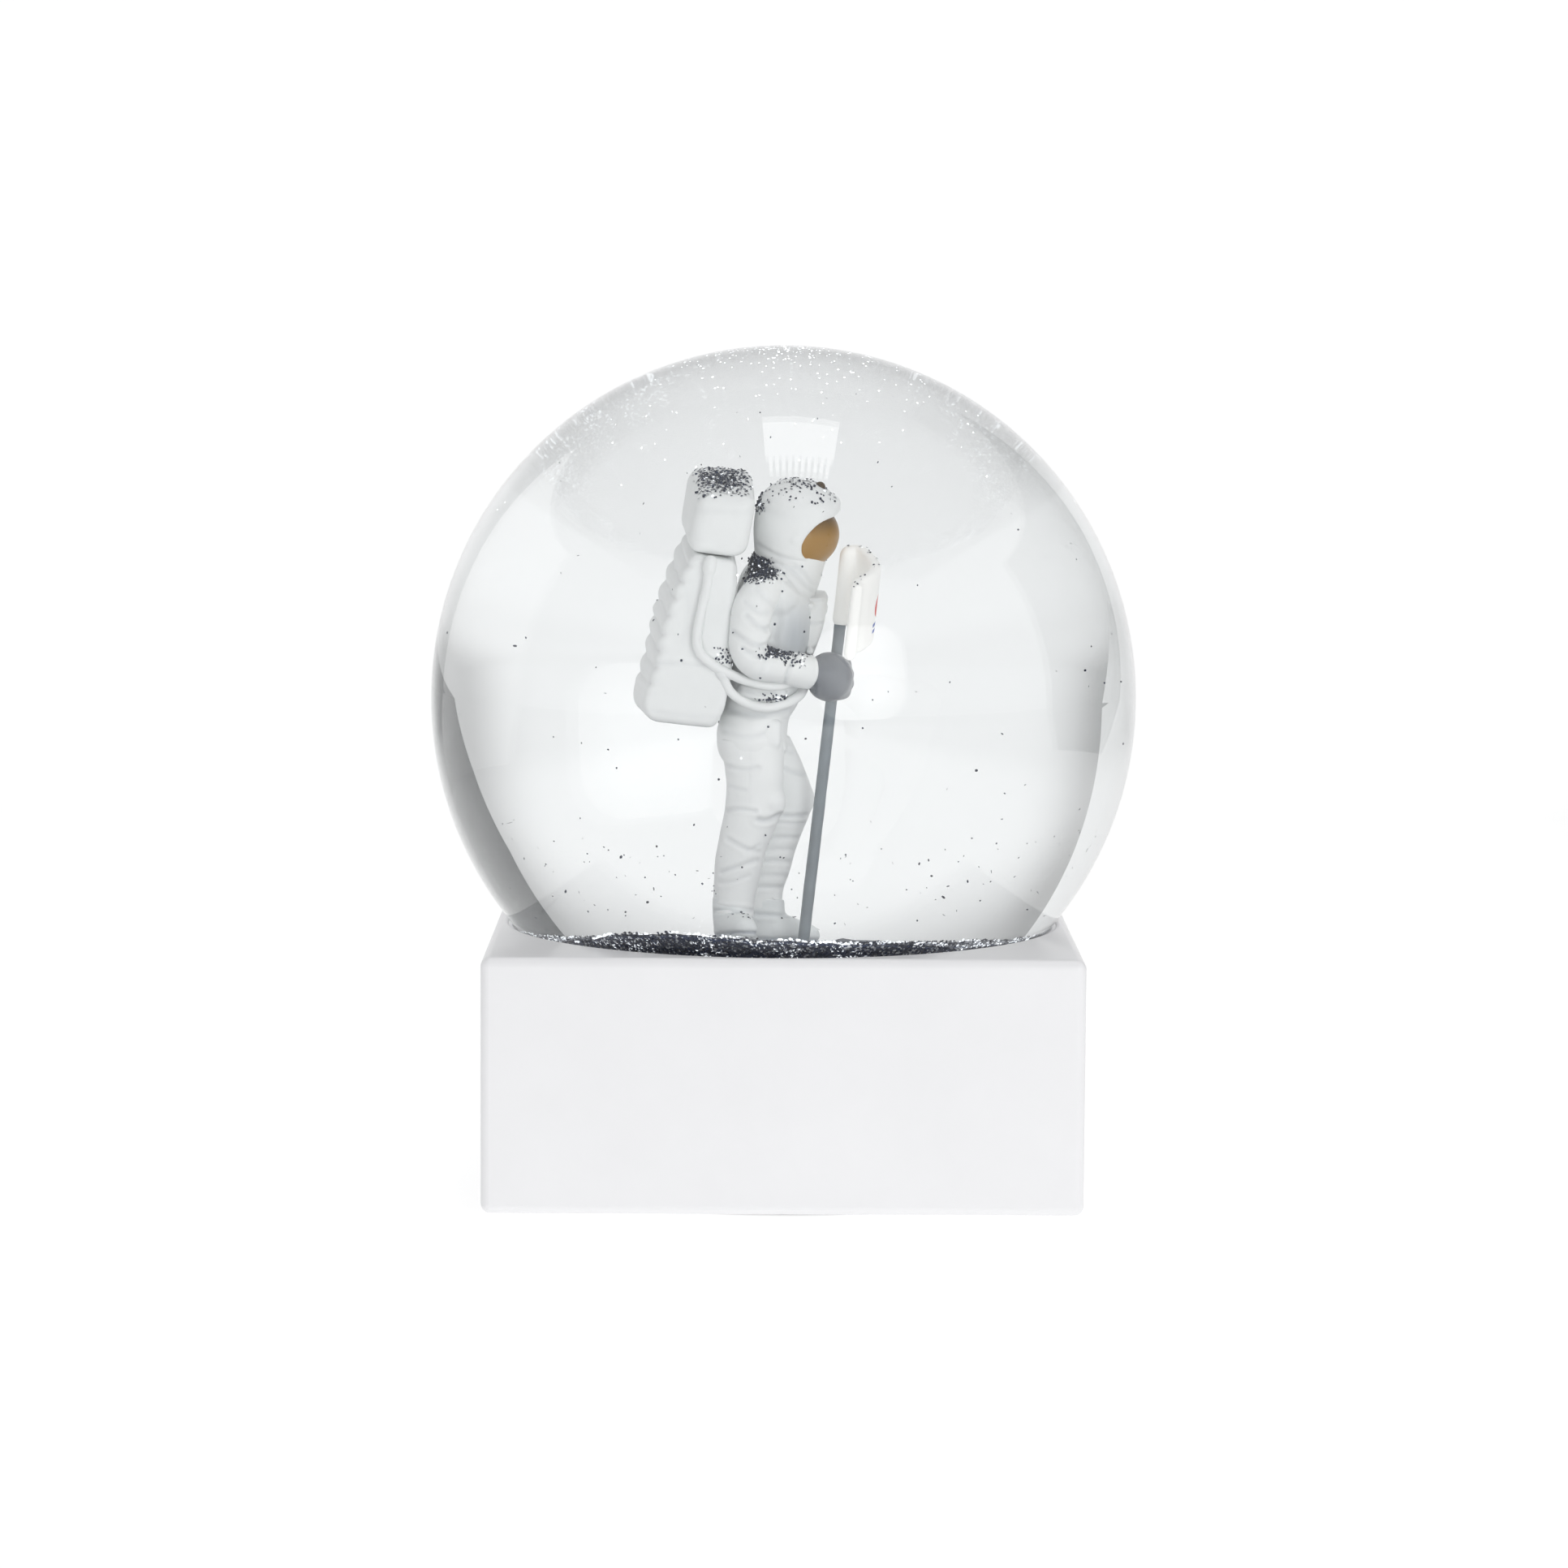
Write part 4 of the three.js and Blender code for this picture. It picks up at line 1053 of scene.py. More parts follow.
PACK_PANEL = [
    (-6.7, 51.2),
    (-9.9, 51.8),
    (-11.0, 46.0),
    (-11.4, 41.0),
    (-10.6, 38.6),
    (-7.8, 37.0),
]
OXYGEN_PACK = [
    (-5.2, 51.4),
    (-3.7, 60.1),
    (-11.9, 60.6),
    (-13.2, 52.4),
]
QUILT_PITCH = 2.3
HELMET = [
    (0.9, 0, 49.4, 4.4, 4.7),
    (0.9, 0, 50.3, 4.7, 5.3),
    (1.0, 0, 51.6, 4.9, 5.8),
    (1.3, 0, 53.5, 5.3, 6.1),
    (1.6, 0, 55.5, 5.5, 6.2),
    (1.85, 0, 57.2, 5.4, 5.9),
    (1.7, 0, 58.4, 4.8, 5.2),
    (1.5, 0, 59.4, 3.8, 4.2),
    (1.4, 0, 60.1, 2.7, 2.9),
    (1.2, 0, 60.5, 1.4, 1.5),
]
BRIM = [  # its near half, up to the middle
    (1.2, -6.0, 53.6, 0.4),
    (2.3, -5.6, 55.2, 0.6),
    (4.2, -4.4, 56.7, 0.75),
    (6.0, -2.2, 57.4, 0.8),
    (6.5, 0.0, 57.5, 0.8),
]
FACE_Z = 52.85
FACE_EDGE = [
    (7.8, 56.5),
    (4.9, 55.9),
    (3.4, 54.7),
    (2.4, 53.1),
    (2.3, 51.8),
    (3.0, 50.7),
    (4.4, 50.2),
    (6.4, 50.0),
]
POLE_FOOT = (2.3, -2.0, -3.0)
POLE_HEAD = (8.3, -1.2, 51.4)
POLE_R = 0.75
POLE_SHARE = 0.982  # how far up the pole's line the staff goes, to end inside the flag
FLAG_WAVE = [(-0.5, -0.2), (1.2, 0.5), (3.0, -3.0), (3.8, -7.2), (2.9, -10.4), (1.7, -12.6), (1.7, -15.0)]
FLAG_T = 1.6
FLAG_H = 10.4
FLAG_RISE = 0.5
FLAG_DROOP = 0.19

SUIT = ("suit_white", WHITE_PAINT)
BOOT = ("boot_white", BOOT_PAINT)
GLOVE = ("glove_grey", GLOVE_PAINT)
VISOR = ("visor_gold", VISOR_PAINT)
POLE = ("pole_grey", POLE_PAINT)
CLOTH = ("flag_white", FLAG_PAINT)


def place(piece, finish, *nodes):
    """Takes a piece from the figure's millimetres to its place in the globe, and finishes it."""
    piece.data.transform(Matrix.Translation((0, 0, SOLE_Z)) @ Matrix.Scale(MM, 4))
    piece.data.update()
    piece.data.shade_smooth()
    return finish_piece(piece, *finish, *nodes)


def mirrored(rows):
    return [(x, -y, *rest) for x, y, *rest in rows]


def waist_shade(co, nor):
    """Painted shade: grey under the near arm and across the chest, where shade falls."""
    chest = np.exp(-(((co[:, 0] - 1.5) / 2.8) ** 2) - ((co[:, 2] - 40.5) / 4.6) ** 2)
    under_arm = np.exp(-(((co[:, 0] + 2.0) / 4.0) ** 2) - ((co[:, 2] - 34.6) / 1.2) ** 2)
    return np.clip(0.95 * chest * np.clip(np.abs(co[:, 1]) / 3.0, 0, 1) + 0.25 * under_arm, 0, 1)


def make_trunk():
    parts = [upright(TRUNK, power=2.3), upright(COLLAR)]
    parts += [ellipsoid((-1.6, side * 5.2, 45.8), (3.7, 3.4, 3.0)) for side in (NEAR, FAR)]
    parts.append(rounded_block([(-6.2, 32.2), (-6.0, 34.6), (0.6, 34.4), (0.2, 31.8)], 7.0, 0.9))
    parts.append(rounded_block([(-0.5, 31.2), (-0.4, 36.0), (2.4, 36.2), (2.1, 32.4)], 4.6, 0.5))
    piece = sculpt("suit_body", parts, smooth=7)
    folds = [
        ([(-3.7, 51.4), (0.0, 50.0), (2.8, 47.4), (4.4, 45.7)], 0.40, 0.26),
        ([(-3.4, 50.6), (-1.0, 49.3), (1.7, 47.1), (3.6, 45.4)], 0.34, 0.20),
        ([(-0.6, 51.0), (2.1, 49.4), (3.5, 47.8), (4.6, 46.6)], 0.34, 0.20),
        ([(-3.0, 49.0), (-1.2, 47.6), (-0.9, 44.0), (-1.4, 40.6)], 0.55, 0.24),
        ([(1.2, 44.4), (1.5, 41.0), (1.0, 38.2)], 0.40, 0.12),
        ([(-7.4, 30.9), (-3.6, 30.4), (0.6, 31.0)], 0.45, 0.30),
        ([(-7.8, 28.2), (-4.5, 27.4), (-1.0, 28.3)], 0.40, 0.14),
        ([(-6.6, 34.0), (-3.2, 33.2), (0.2, 33.7)], 0.30, 0.22),
        ([(-4.5, 30.0), (-4.5, 24.0)], 0.14, 0.06),
    ]
    carve(piece, folds, seed=3, shade=waist_shade)
    return place(piece, SUIT, "suit_torso", "suit_hips", "neck_ring")


def make_chest_pack():
    parts = [upright(CHEST_BOX, power=6, sides=48)]
    knobs = itertools.product((-2.4, -0.8, 0.8, 2.4), (43.6, 44.8))
    parts += [ellipsoid((5.2, y, z), (0.45, 0.45, 0.45), sides=16) for y, z in knobs]
    for side in (NEAR, FAR):
        parts += [limb([(3.3, side * 3.5, z, 0.45), (3.4, side * 4.5, z, 0.5)], 16) for z in (38.6, 44.6)]
    piece = sculpt("chest_control_box", parts, voxel=0.2, smooth=4)
    seams = [
        ([(2.2, 42.2), (5.4, 42.2)], 0.22, 0.16),
        ([(2.2, 45.2), (5.4, 45.2)], 0.22, 0.12),
        ([(2.2, 38.9), (4.6, 38.9)], 0.22, 0.14),
    ]
    carve(piece, seams, lumps=0.03, seed=9)
    return place(piece, SUIT, "chest_pack")


def make_right_leg():
    knee = ellipsoid((-1.6, -4.1, 18.9), (2.0, 2.7, 2.3))
    pocket = rounded_block([(-3.1, 26.0), (-3.0, 30.2), (-0.2, 29.8), (-0.4, 25.8)], 5.6, 0.9, shift=-1.0)
    piece = sculpt("suit_right_leg", [upright(RIGHT_LEG), knee, pocket], smooth=7)
    folds = [
        ([(-7.9, 17.6), (-5.8, 18.0), (-3.6, 17.7)], 0.24, 0.22),
        ([(-3.3, 16.6), (-2.1, 16.5), (-0.3, 17.2)], 0.34, 0.34),
        ([(-7.7, 23.6), (-5.4, 23.2), (-3.2, 23.5)], 0.28, 0.16),
        ([(-7.6, 21.0), (-5.0, 20.4)], 0.28, 0.12),
        ([(-7.2, 14.0), (-5.0, 12.8), (-3.2, 12.4)], 0.30, 0.17),
        ([(-4.8, 12.2), (-3.2, 13.2)], 0.26, 0.12),
        ([(-8.0, 9.6), (-6.0, 10.3), (-3.4, 11.2)], 0.30, 0.18),
        ([(-8.2, 8.2), (-6.4, 8.4), (-4.4, 9.2)], 0.26, 0.10),
        ([(-9.2, 4.9), (-6.4, 4.7), (-3.8, 4.5)], 0.30, 0.24),
        ([(-4.5, 27.0), (-4.5, 18.4)], 0.14, 0.06),
    ]
    carve(piece, folds, seed=11)
    return place(piece, SUIT, "right_leg")


def make_left_leg():
    knee = ellipsoid((1.9, 3.9, 19.0), (2.1, 2.7, 2.4))
    pocket = rounded_block([(-2.6, 24.8), (-2.5, 28.4), (0.0, 28.0), (0.6, 25.0)], 5.6, 0.9, shift=1.0)
    piece = sculpt("suit_left_leg", [upright(LEFT_LEG), knee, pocket], smooth=6)
    shins = [(-0.6, 1.9, 16.0), (-0.8, 1.9, 14.1), (-1.1, 1.3, 12.6)]
    shins += [(-1.9, 0.8, 11.1), (-2.4, 0.6, 9.3), (-2.9, 0.2, 7.8)]
    folds = [
        ([(back - 2.0, z - 0.3), (back, z + 0.1), (front + 0.6, z)], 0.28, 0.10 + 0.07 * (row % 2))
        for row, (back, front, z) in enumerate(shins)
    ]
    folds += [
        ([(-1.2, 17.2), (0.8, 16.9), (3.4, 17.0)], 0.30, 0.26),
        ([(0.2, 22.9), (2.0, 22.3), (3.2, 22.0)], 0.30, 0.20),
        ([(-1.0, 25.6), (1.2, 25.0)], 0.26, 0.14),
    ]
    carve(piece, folds, seed=13)
    return place(piece, SUIT, "left_leg")


def make_boot(name, node, centre, turn, seed):
    """An overshoe: a foot along its own axis, a shaft, and a flange-like sole."""
    ahead = np.array([math.cos(turn), math.sin(turn)])
    aside = np.array([-ahead[1], ahead[0]])

    def spot(far, out, z):
        return (*(np.array(centre) + ahead * far + aside * out), z)

    foot = limb([(*spot(far, 0, z), r) for far, z, r in (
        (-1.9, 2.1, 1.9), (-0.4, 2.5, 2.3), (1.8, 2.4, 2.3), (4.0, 1.9, 2.05), (5.4, 1.7, 1.75))])
    shaft = upright([(*centre, 1.2, 2.3, 2.3), (*centre, 4.0, 2.6, 2.6), (*centre, 6.4, 2.6, 2.7)])
    outline = [(math.cos(a), math.sin(a)) for a in circle(40)]
    sole = ring_skin([
        [spot(1.9 + (4.5 + grow) * c, (2.3 + grow) * s * (1 + 0.12 * c), z) for c, s in outline]
        for z, grow in ((0.05, -0.15), (0.12, 0.0), (0.85, 0.05), (1.0, -0.1))
    ])
    below = rounded_block([(-20, -8), (20, -8), (20, 0.02), (-20, 0.02)], 20, 0.01, 1)
    piece = sculpt(name, [foot, shaft, sole], voxel=0.22, smooth=4, cutter=below)

    def line_above_sole(co, nor, height, width):
        return np.exp(-(((co[:, 2] - height) / width) ** 2)) * (1 - np.abs(nor[:, 2]))

    # The groove above the sole is darkened as painted shade.
    carve(
        piece, [([(centre[0] - 3, 4.5), (centre[0] + 3, 4.2)], 0.28, 0.16)], lumps=0.04, seed=seed,
        push=lambda co, nor: -0.28 * line_above_sole(co, nor, 1.25, 0.22),
        shade=lambda co, nor: 0.9 * line_above_sole(co, nor, 1.2, 0.28),
    )
    return place(piece, BOOT, node)


def elbow_folds(co, nor):
    """Cloth rolls on the inside of the bent elbow."""
    inside = np.exp(-(((co[:, 0] + 2.7) / 1.9) ** 2) - ((co[:, 2] - 40.6) / 3.2) ** 2)
    along = (co[:, 2] - 38.0) * 0.86 - (co[:, 0] + 3.0) * 0.5
    return 0.16 * inside * np.sin(2 * math.pi * along / 1.9)


def make_right_arm():
    cuff = limb([(0.6, -8.0, 36.75, 2.2), (2.0, -7.25, 36.4, 2.3), (3.6, -6.4, 36.0, 2.25)], round_ends=False)
    piece = sculpt("suit_right_arm", [limb(RIGHT_ARM), cuff], smooth=5)
    folds = [
        ([(-6.8, 41.9), (-4.8, 40.6), (-2.8, 40.0)], 0.34, 0.26, NEAR),
        ([(-5.2, 44.2), (-3.6, 42.8), (-2.2, 42.2)], 0.34, 0.22, NEAR),
        ([(-5.4, 46.0), (-3.8, 44.8), (-2.2, 44.4)], 0.34, 0.15, NEAR),
        ([(-5.6, 39.8), (-4.0, 38.8), (-2.4, 39.0)], 0.34, 0.20, NEAR),
        ([(-3.8, 47.6), (-2.6, 46.4), (-1.6, 45.4)], 0.40, 0.13, NEAR),
        ([(-3.4, 36.2), (-2.6, 37.4), (-2.4, 38.8)], 0.36, 0.10, NEAR),
        ([(0.0, 34.6), (0.6, 36.6), (1.5, 38.6)], 0.24, 0.26, NEAR),
    ]
    carve(piece, folds, lumps=0.06, seed=17, push=elbow_folds)
    return place(piece, SUIT, "right_arm")


def make_left_arm():
    cuff = limb([(-3.0, 10.0, 33.2, 2.45), (-2.8, 9.95, 31.6, 2.5), (-2.7, 9.9, 29.9, 2.4)], round_ends=False)
    piece = sculpt("suit_left_arm", [limb(LEFT_ARM), cuff], smooth=5)
    heights = (43.5, 41.2, 39.0, 36.8)
    folds = [([(-6.0, z), (-3.4, z - 0.9), (-0.6, z - 0.2)], 0.34, 0.20, FAR) for z in heights]
    folds.append(([(-5.6, 33.4), (-3.0, 33.2), (-0.4, 33.4)], 0.24, 0.24))
    carve(piece, folds, lumps=0.06, seed=19)
    return place(piece, SUIT, "left_arm")


def make_gloves():
    parts = [ellipsoid((5.9, -4.0, 35.2), (3.1, 3.2, 3.25))]
    parts.append(limb([(3.7, -6.3, 36.0, 1.7), (5.0, -5.2, 35.6, 2.4)]))
    for z, out in ((36.6, -0.3), (35.4, 0.0), (34.2, 0.0), (33.1, -0.4)):
        knuckles = [(6.3, -5.0 - out, z, 0.95), (7.7 + out, -3.7, z, 0.95)]
        parts.append(limb([*knuckles, (8.2 + out, -1.9, z, 0.9), (7.4, -0.3, z, 0.8)]))
    parts.append(limb([(4.6, -3.8, 36.4, 1.0), (5.5, -2.0, 36.8, 1.0), (6.4, -0.6, 36.7, 0.85)]))
    piece = sculpt("glove_right", parts, voxel=0.22, smooth=9)
    carve(piece, [([(3.3, 33.6), (3.6, 35.6), (4.3, 37.6)], 0.25, 0.14, NEAR)], seed=23)
    place(piece, GLOVE, "right_glove")

    parts = [ellipsoid((-2.5, 9.9, 26.9), (1.7, 1.2, 2.3))]
    parts.append(limb([(-2.7, 9.9, 29.6, 1.8), (-2.6, 9.9, 28.0, 1.6)]))
    parts += [
        limb([(x, 9.9, 26.4, 0.62), (x + 0.1, 9.7, 24.6, 0.6), (x + 0.3, 9.2, 23.5, 0.5)])
        for x in (-3.8, -2.9, -2.0, -1.2)
    ]
    parts.append(limb([(-1.4, 9.4, 28.0, 0.7), (-0.7, 8.9, 26.6, 0.65), (-0.6, 8.6, 25.6, 0.55)]))
    piece = sculpt("glove_left", parts, voxel=0.2, smooth=4)
    carve(piece, lumps=0.04, seed=29)
    place(piece, GLOVE, "left_glove")


def make_hoses():
    for side, word in ((NEAR, "right"), (FAR, "left")):
        for rows, height in ((UPPER_HOSE, "upper"), (LOWER_HOSE, "lower")):
            joints = np.array([(x, side * y, z, HOSE_R) for x, y, z in rows])
            wider = np.array([0, 0, 0, 0.28])
            collar = limb([joints[0] + wider, 0.75 * joints[0] + 0.25 * joints[1] + wider], 24)
            piece = sculpt(f"{word}_{height}_suit_hose", [limb(joints, 24, 6), collar], voxel=0.18, smooth=3)
            carve(piece, lumps=0.04, lump_size=1.6, seed=31)
            place(piece, SUIT, f"{word}_{height}_hose")


# ---------------- packs, helmet, pole and flag
def quilting(co, nor):
    """Scallops down the pack's rear edge, deepest on the rear face and fading along the sides."""
    spine = np.interp(co[:, 2], [31.0, 36.0, 42.0, 47.5, 52.2], [-18.8, -17.4, -16.2, -14.4, -12.4])
    behind = np.clip(1 - (co[:, 0] - spine - 0.4) / 1.3, 0, 1)
    wave = np.abs(np.sin(math.pi * (co[:, 2] - 30.0) / QUILT_PITCH + 0.5 * lattice_noise(co / 4.0, 83)))
    inside = np.clip((co[:, 2] - 33.0) / 1.5, 0, 1) * np.clip((51.5 - co[:, 2]) / 1.0, 0, 1)
    return 0.42 * (wave - 0.4) * behind * inside


def make_life_pack():
    body = rounded_block(LIFE_PACK, PACK_HALF_W, 1.1)
    panel = rounded_block(PACK_PANEL, PACK_HALF_W + 0.42, 0.45)
    piece = sculpt("back_pack_lower", [body, panel], voxel=0.28, smooth=5)
    seams = [
        ([(-18.6, 37.5), (-13.0, 37.2), (-9.4, 37.1)], 0.26, 0.12),
        ([(-9.6, 51.6), (-10.7, 46.0), (-11.2, 41.4)], 0.22, 0.10),
        ([(-17.6, 31.0), (-13.4, 30.4), (-9.0, 30.2)], 0.26, 0.07),
        ([(-14.0, 49.0), (-12.9, 45.0), (-13.6, 40.0)], 0.34, 0.06),
    ]
    carve(piece, seams, lumps=0.07, lump_size=4.0, seed=37, push=quilting)
    return place(piece, SUIT, "life_support_pack")


def make_oxygen_pack():
    block = rounded_block(OXYGEN_PACK, PACK_HALF_W + 0.25, 1.8)
    piece = sculpt("back_pack_upper", [block], voxel=0.28)
    seam = ([(-12.3, 58.4), (-8.0, 58.1), (-4.4, 57.9)], 0.5, 0.05)
    carve(piece, [seam], lumps=0.08, lump_size=4.5, seed=41)
    return place(piece, SUIT, "oxygen_pack")


def face_cut():
    """The helmet's opening as the side view shows it, cut right across."""
    edge = [(x, z) for x, _, z in spline([(x, 0.0, z) for x, z in FACE_EDGE], 6)]
    outline = edge + [(9.5, FACE_EDGE[-1][1] - 0.6), (9.5, FACE_EDGE[0][1] + 0.3)]
    return ring_skin([[(x, y, z) for x, z in outline] for y in (9.0, -9.0)])


def make_helmet():
    parts = [upright(HELMET, power=2.05, sides=64), limb(BRIM + mirrored(BRIM[-2::-1]), 20, 6)]
    piece = sculpt("helmet_shell", parts, voxel=0.22, smooth=5, cutter=face_cut())
    folds = [
        ([(-3.9, 52.6), (-1.6, 51.6), (1.0, 50.8), (3.6, 50.0)], 0.34, 0.12),
        ([(-3.4, 57.4), (0.4, 56.7), (3.6, 57.0)], 0.7, 0.05),
    ]
    carve(piece, folds, lump_size=3.5, seed=43)
    return place(piece, SUIT, "helmet")


def make_visor():
    bulge = ellipsoid((1.9, 0, FACE_Z + 0.3), (5.25, 5.75, 4.5), -0.2, 64)
    piece = sculpt("visor_shell", [bulge], voxel=0.2, smooth=3)

    # Painted shade: the visor's paint darkens towards its top.
    def edge_shade(co, nor):
        return 0.75 * np.clip((co[:, 2] - FACE_Z - 0.6) / 2.4, 0, 1) ** 1.5

    carve(piece, lumps=0.04, lump_size=1.8, seed=47, shade=edge_shade)
    place(piece, VISOR, "gold_visor")
    bead = ellipsoid((4.6, 0, 59.6), (0.75, 0.75, 0.85), sides=24)
    lamp = sculpt("helmet_lamp", [bead], voxel=0.12, smooth=2)
    # The lamp takes the visor paint's dark colour all over: its own dark paint, not shade.
    carve(lamp, lumps=0.02, seed=53, shade=lambda co, nor: np.full(len(co), 0.96))
    place(lamp, VISOR)


def make_pole():
    foot, head = np.array(POLE_FOOT), np.array(POLE_HEAD)
    joints = [(*(foot + (head - foot) * t), POLE_R) for t in np.linspace(0, POLE_SHARE, 30)]
    piece = fuse("flag_staff", [limb(joints, 28, 3)])

    def hammering(co, nor):
        return 0.035 * lattice_noise(co / np.array([0.7, 0.7, 2.2]), 5)

    carve(piece, lumps=0.012, lump_size=0.6, seed=59, push=hammering)
    place(piece, POLE, "flag_pole")


def make_flag():
    """A ribbon that leaves the pole, swings out and folds back. Where a point lies on it is stored."""
    px, py, pz = POLE_HEAD
    line = spline([(px + dx, py + dy, 0.0) for dx, dy in FLAG_WAVE], 12)
    run = np.gradient(line, axis=0)
    run /= np.linalg.norm(run, axis=1)[:, None]
    across = np.column_stack([-run[:, 1], run[:, 0], np.zeros(len(line))])
    foot = pz + FLAG_RISE - FLAG_H

    # the flag's section: (side, height, share of its thickness), thinned at the edges and the ends
    lower = [(0.0, 0.45), (0.12, 0.78), (0.55, 1.0)]
    heights = lower + [(h, 1.0) for h in np.linspace(0.55, FLAG_H - 0.55, 10)[1:-1]]
    heights += [(FLAG_H - h, w) for h, w in lower[::-1]]
    section = [(-1, h, w) for h, w in heights] + [(1, h, w) for h, w in heights[::-1]]
    thin = np.ones(len(line))
    thin[:3] = 0.45, 0.8, 0.95
    thin[-3:] = 0.95, 0.8, 0.45
    verts, faces = ring_skin([
        [spot + side * (s * w * FLAG_T / 2 * share) + np.array([0, 0, foot + h]) for s, h, w in section]
        for spot, side, share in zip(line, across, thin)
    ])

    lean = (POLE_HEAD[0] - POLE_FOOT[0]) / (POLE_HEAD[2] - POLE_FOOT[2])
    verts = [(x + lean * (z - pz), y, z + FLAG_DROOP * (y - py)) for x, y, z in verts]
    sleeve_z = np.linspace(foot + 0.9, foot + FLAG_H - 1.0, 6)
    sleeve = limb([(px + lean * (z - pz), py - 0.1, z, 1.05) for z in sleeve_z])
    piece = sculpt("flag_cloth", [(verts, faces), sleeve], voxel=0.18, smooth=4)

    co = rows_of(piece.data.vertices, "co")
    level = co[:, 2] - FLAG_DROOP * (co[:, 1] - py)
    flat = np.column_stack([co[:, 0] - lean * (level - pz), co[:, 1]])
    nearest = np.argmin(np.linalg.norm(flat[:, None] - line[None, :, :2], axis=2), axis=1)
    off = flat - line[nearest, :2]
    length = np.concatenate([[0], np.cumsum(np.linalg.norm(np.diff(line, axis=0), axis=1))])
    carve(piece, lump_size=3.0, seed=61)
    store(piece, "flag_run", length[nearest] + (off * run[nearest, :2]).sum(axis=1))
    store(piece, "flag_rise", level - foot)
    store(piece, "flag_outer", (off * across[nearest, :2]).sum(axis=1))
    return place(piece, CLOTH, "flag")


def make_figure():
    """Builds every piece of the astronaut. Gives back those that glitter has settled on."""
    make_chest_pack()
    make_left_arm()
    make_gloves()
    make_hoses()
    make_visor()
    make_pole()
    return {
        "trunk": make_trunk(),
        "right_leg": make_right_leg(),
        "left_leg": make_left_leg(),
        "right_boot": make_boot("boot_right", "right_boot", (-6.5, -3.7), math.radians(-74), 67),
        "left_boot": make_boot("boot_left", "left_boot", (-2.3, 3.9), 0.0, 71),
        "right_arm": make_right_arm(),
        "life_pack": make_life_pack(),
        "oxygen_pack": make_oxygen_pack(),
        "helmet": make_helmet(),
        "flag": make_flag(),
    }


# ---------------- stage
BALL_CENTRE = (0, 0, BALL_Z)
PAPER_WHITE = 0.45
PAPER_GLOW = 0.68
PALE_WALL = 0.98
FRONT_AT = (0.50, -1.08, BALL_Z + 0.26)
FRONT_GLOW = 2.0
FRONT_W = 0.62
TOP_AT = (0.085, 0.14, BALL_Z + 1.4)
TOP_GLOW = 1.7
WORLD_SIDE = 0.70
WORLD_TOP = 0.47

# The wall cards' rows: distance and height in metres, and where the row starts, in degrees from
# straight behind towards the right
DARK_WALL = [
    (0.4, 0.004, 60),
    (0.8, 0.004, 48),
    (1.25, 0.004, 42),
    (1.25, 0.17, 36),
    (1.25, 0.35, 31),
    (1.25, 0.85, 25),
]
PALE_WALL_ROWS = [
    (0.3, 0.004, -38),
    (0.7, 0.004, -36.5),
    (1.25, 0.004, -36.5),
    (1.25, 0.9, -37),
]


def paper_material():
    """White paper, lit from behind, and dimmer towards its sides and its top."""
    material, tree = new_material("paper_sweep")
    at = position(tree)
    reach = measure(tree, "MAXIMUM", at["Y"], 0.55)
    aside = measure(tree, "DIVIDE", measure(tree, "ABSOLUTE", at["X"]), reach)
    sides = fade(tree, aside, 0.30, 0.80, 1.0, 0.52, "SMOOTHERSTEP")
    level = measure(tree, "MULTIPLY", sides, fade(tree, at["Z"], 0.26, 0.72, 1.0, 0.60))
    principled(tree, {
        "Roughness": 0.9,
        "Base Color": grey_ramp(tree, level, 0.0, PAPER_WHITE, 0.0, 1.0),
        "Emission Color": grey(1.0),
        "Emission Strength": measure(tree, "MULTIPLY", level, PAPER_GLOW),
    })
    return material


def glow_material(name, strength, soft_edge=0.02, size=9.0):
    """A light panel's face, at most strength bright, dimming towards the edges of a square of that size."""
    material, tree = new_material(name)
    at = position(tree)
    across, up = (
        fade(tree, measure(tree, "ABSOLUTE", at[axis]), size / 2, size / 2 * (1 - soft_edge), 0.72, 1.0)
        for axis in ("X", "Y")
    )
    level = measure(tree, "MULTIPLY", measure(tree, "MULTIPLY", across, up), strength)
    show(tree, add(tree, "Emission", {"Strength": level}))
    return material


def dark_material():
    material, tree = new_material("dark_felt_card")
    tint = ramp(tree, noise(tree, 6.0), (0.3, (0.030, 0.036, 0.038)), (0.7, (0.055, 0.060, 0.060)))
    principled(tree, {"Roughness": 0.95, "Base Color": tint})
    return material


def facing(made, place, aim, axis):
    """Puts an object at a place, with its given axis towards aim."""
    made.location = place
    made.rotation_euler = (Vector(aim) - Vector(place)).to_track_quat(axis, "Y").to_euler()


def make_stage():
    """A paper floor that sweeps up into a wall behind the globe."""
    depth, radius, height, front, half = 1.4, 0.5, 2.2, -2.6, 2.2
    sweep = [(y, 0.0) for y in np.linspace(front, depth - radius, 12)]
    sweep += [
        (depth - radius + radius * math.sin(a), radius - radius * math.cos(a))
        for a in np.linspace(0, math.pi / 2, 13)[1:]
    ]
    sweep.append((depth, height))
    verts = [(x, y, z) for y, z in sweep for x in (-half, half)]
    floor = new_object("floor_sweep", verts, grid_faces(len(sweep), 2, closed=False))
    floor.data.shade_smooth()
    floor.data.materials.append(paper_material())


def glass_only(name, verts, faces, material):
    """A stage card that only the glass and the gloss of the pieces show."""
    card = new_object(name, verts, faces)
    card.data.materials.append(material)
    card.visible_camera = False
    card.visible_diffuse = False
    card.visible_shadow = False
    return card


def flat_card(name, outlines, material):
    """Its outlines lie in its own XY plane."""
    verts = [(x, y, 0.0) for outline in outlines for x, y in outline]
    starts = np.cumsum([0] + [len(outline) for outline in outlines])
    faces = [range(start, end) for start, end in zip(starts, starts[1:])]
    return glass_only(name, verts, faces, material)


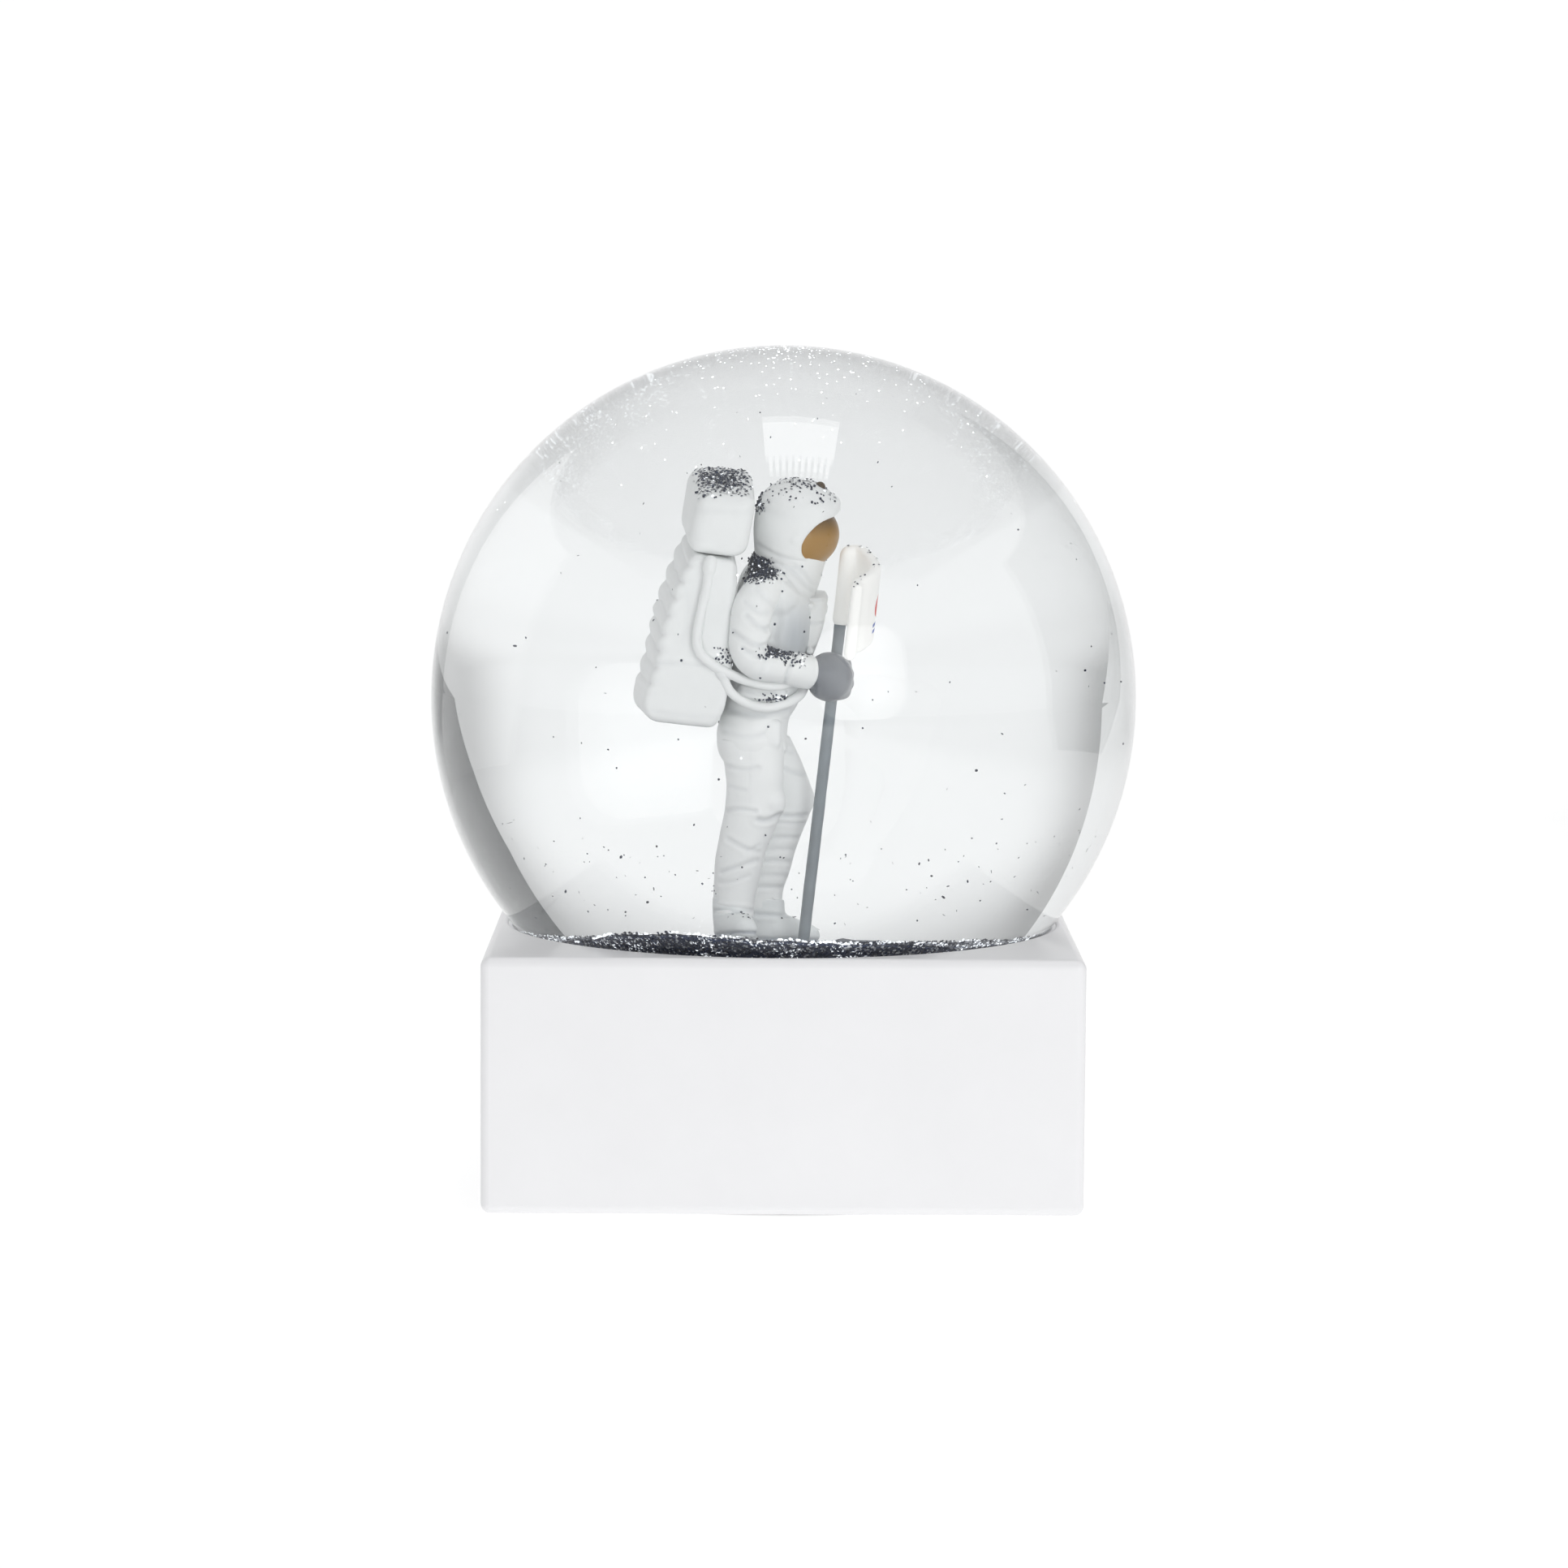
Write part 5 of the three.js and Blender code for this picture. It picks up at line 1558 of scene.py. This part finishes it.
def wall_card(name, rows, end, material):
    """A curved card that lies on the floor and rises, each row turned from its start to end degrees."""
    across = 9
    verts = [
        (far * math.sin(math.radians(turn)), far * math.cos(math.radians(turn)), z)
        for far, z, start in rows
        for turn in np.linspace(start, end, across)
    ]
    glass_only(name, verts, grid_faces(len(rows), across, closed=False), material)


def rounded_outline(width, radius):
    """A square with round corners."""
    flat = width / 2 - radius
    return [
        (sx * flat + radius * math.cos(a), sy * flat + radius * math.sin(a))
        for quarter, (sx, sy) in enumerate(((1, 1), (-1, 1), (-1, -1), (1, -1)))
        for a in np.linspace(quarter * math.pi / 2, (quarter + 1) * math.pi / 2, 9)
    ]


def make_cards():
    """What the glass shows of the studio: two light panels, and a dark and a pale wall beyond the paper."""
    face = glow_material("front_panel_face", FRONT_GLOW, 0.7, FRONT_W)
    front = flat_card("front_panel", [rounded_outline(FRONT_W, 0.17)], face)
    facing(front, FRONT_AT, BALL_CENTRE, "Z")
    outlines = [box_outline(-0.20, 0.20, -0.20, 0.26)]
    outlines += [box_outline(x, x + 0.022, -0.36, -0.20) for x in np.arange(-0.18, 0.18, 0.038)]
    top = flat_card("top_panel", outlines, glow_material("top_panel_face", TOP_GLOW))
    top.location = TOP_AT
    wall_card("dark_wall", DARK_WALL, 86, dark_material())
    wall_card("pale_wall", PALE_WALL_ROWS, -86, glow_material("pale_wall_face", PALE_WALL))


def soft_box(name, place, size, power):
    """A lamp that lights the set but doesn't show in the glass, which has its own cards for that."""
    data = bpy.data.lights.new(name, "AREA")
    data.shape = "RECTANGLE"
    data.size, data.size_y = size
    data.energy = power
    lamp = add_to_scene(name, data)
    facing(lamp, place, BALL_CENTRE, "-Z")
    lamp.visible_glossy = False
    lamp.visible_transmission = False


def make_lights():
    soft_box("overhead_box", (0.09, 0.2, BALL_Z + 1.4), (0.55, 0.6), 3.9)
    soft_box("front_right_box", FRONT_AT, (FRONT_W, FRONT_W), 3.8)
    world = bpy.data.worlds.new("studio")
    world.use_nodes = True
    tree = world.node_tree
    back = tree.nodes["Background"]
    put(back.inputs["Color"], (0.985, 0.99, 1.0))
    rise = position(tree, "Generated")["Z"]
    put(back.inputs["Strength"], fade(tree, rise, 0.1, 0.9, WORLD_SIDE, WORLD_TOP))
    bpy.context.scene.world = world
    bpy.context.scene.view_settings.view_transform = "Standard"


def make_camera():
    data = bpy.data.cameras.new("camera")
    data.lens = VIEW_LENS
    data.sensor_width = 36.0
    data.clip_start = 0.05
    data.clip_end = 20
    camera = add_to_scene("camera", data)
    turn = Matrix.Rotation(-VIEW_YAW, 4, "Z")
    tilt = Matrix.Rotation(math.pi / 2 - VIEW_PITCH, 4, "X")
    roll = Matrix.Rotation(VIEW_ROLL, 4, "Z")
    camera.matrix_world = Matrix.Translation(VIEW_PLACE) @ turn @ tilt @ roll
    bpy.context.scene.camera = camera


make_camera()
make_stage()
make_cards()
make_lights()
paint_cad_nodes()
make_base_block()
make_glass()
make_water()
make_bed()
make_flakes(make_figure(), make_ground())
make_bed_flakes()
make_drifting_flakes()
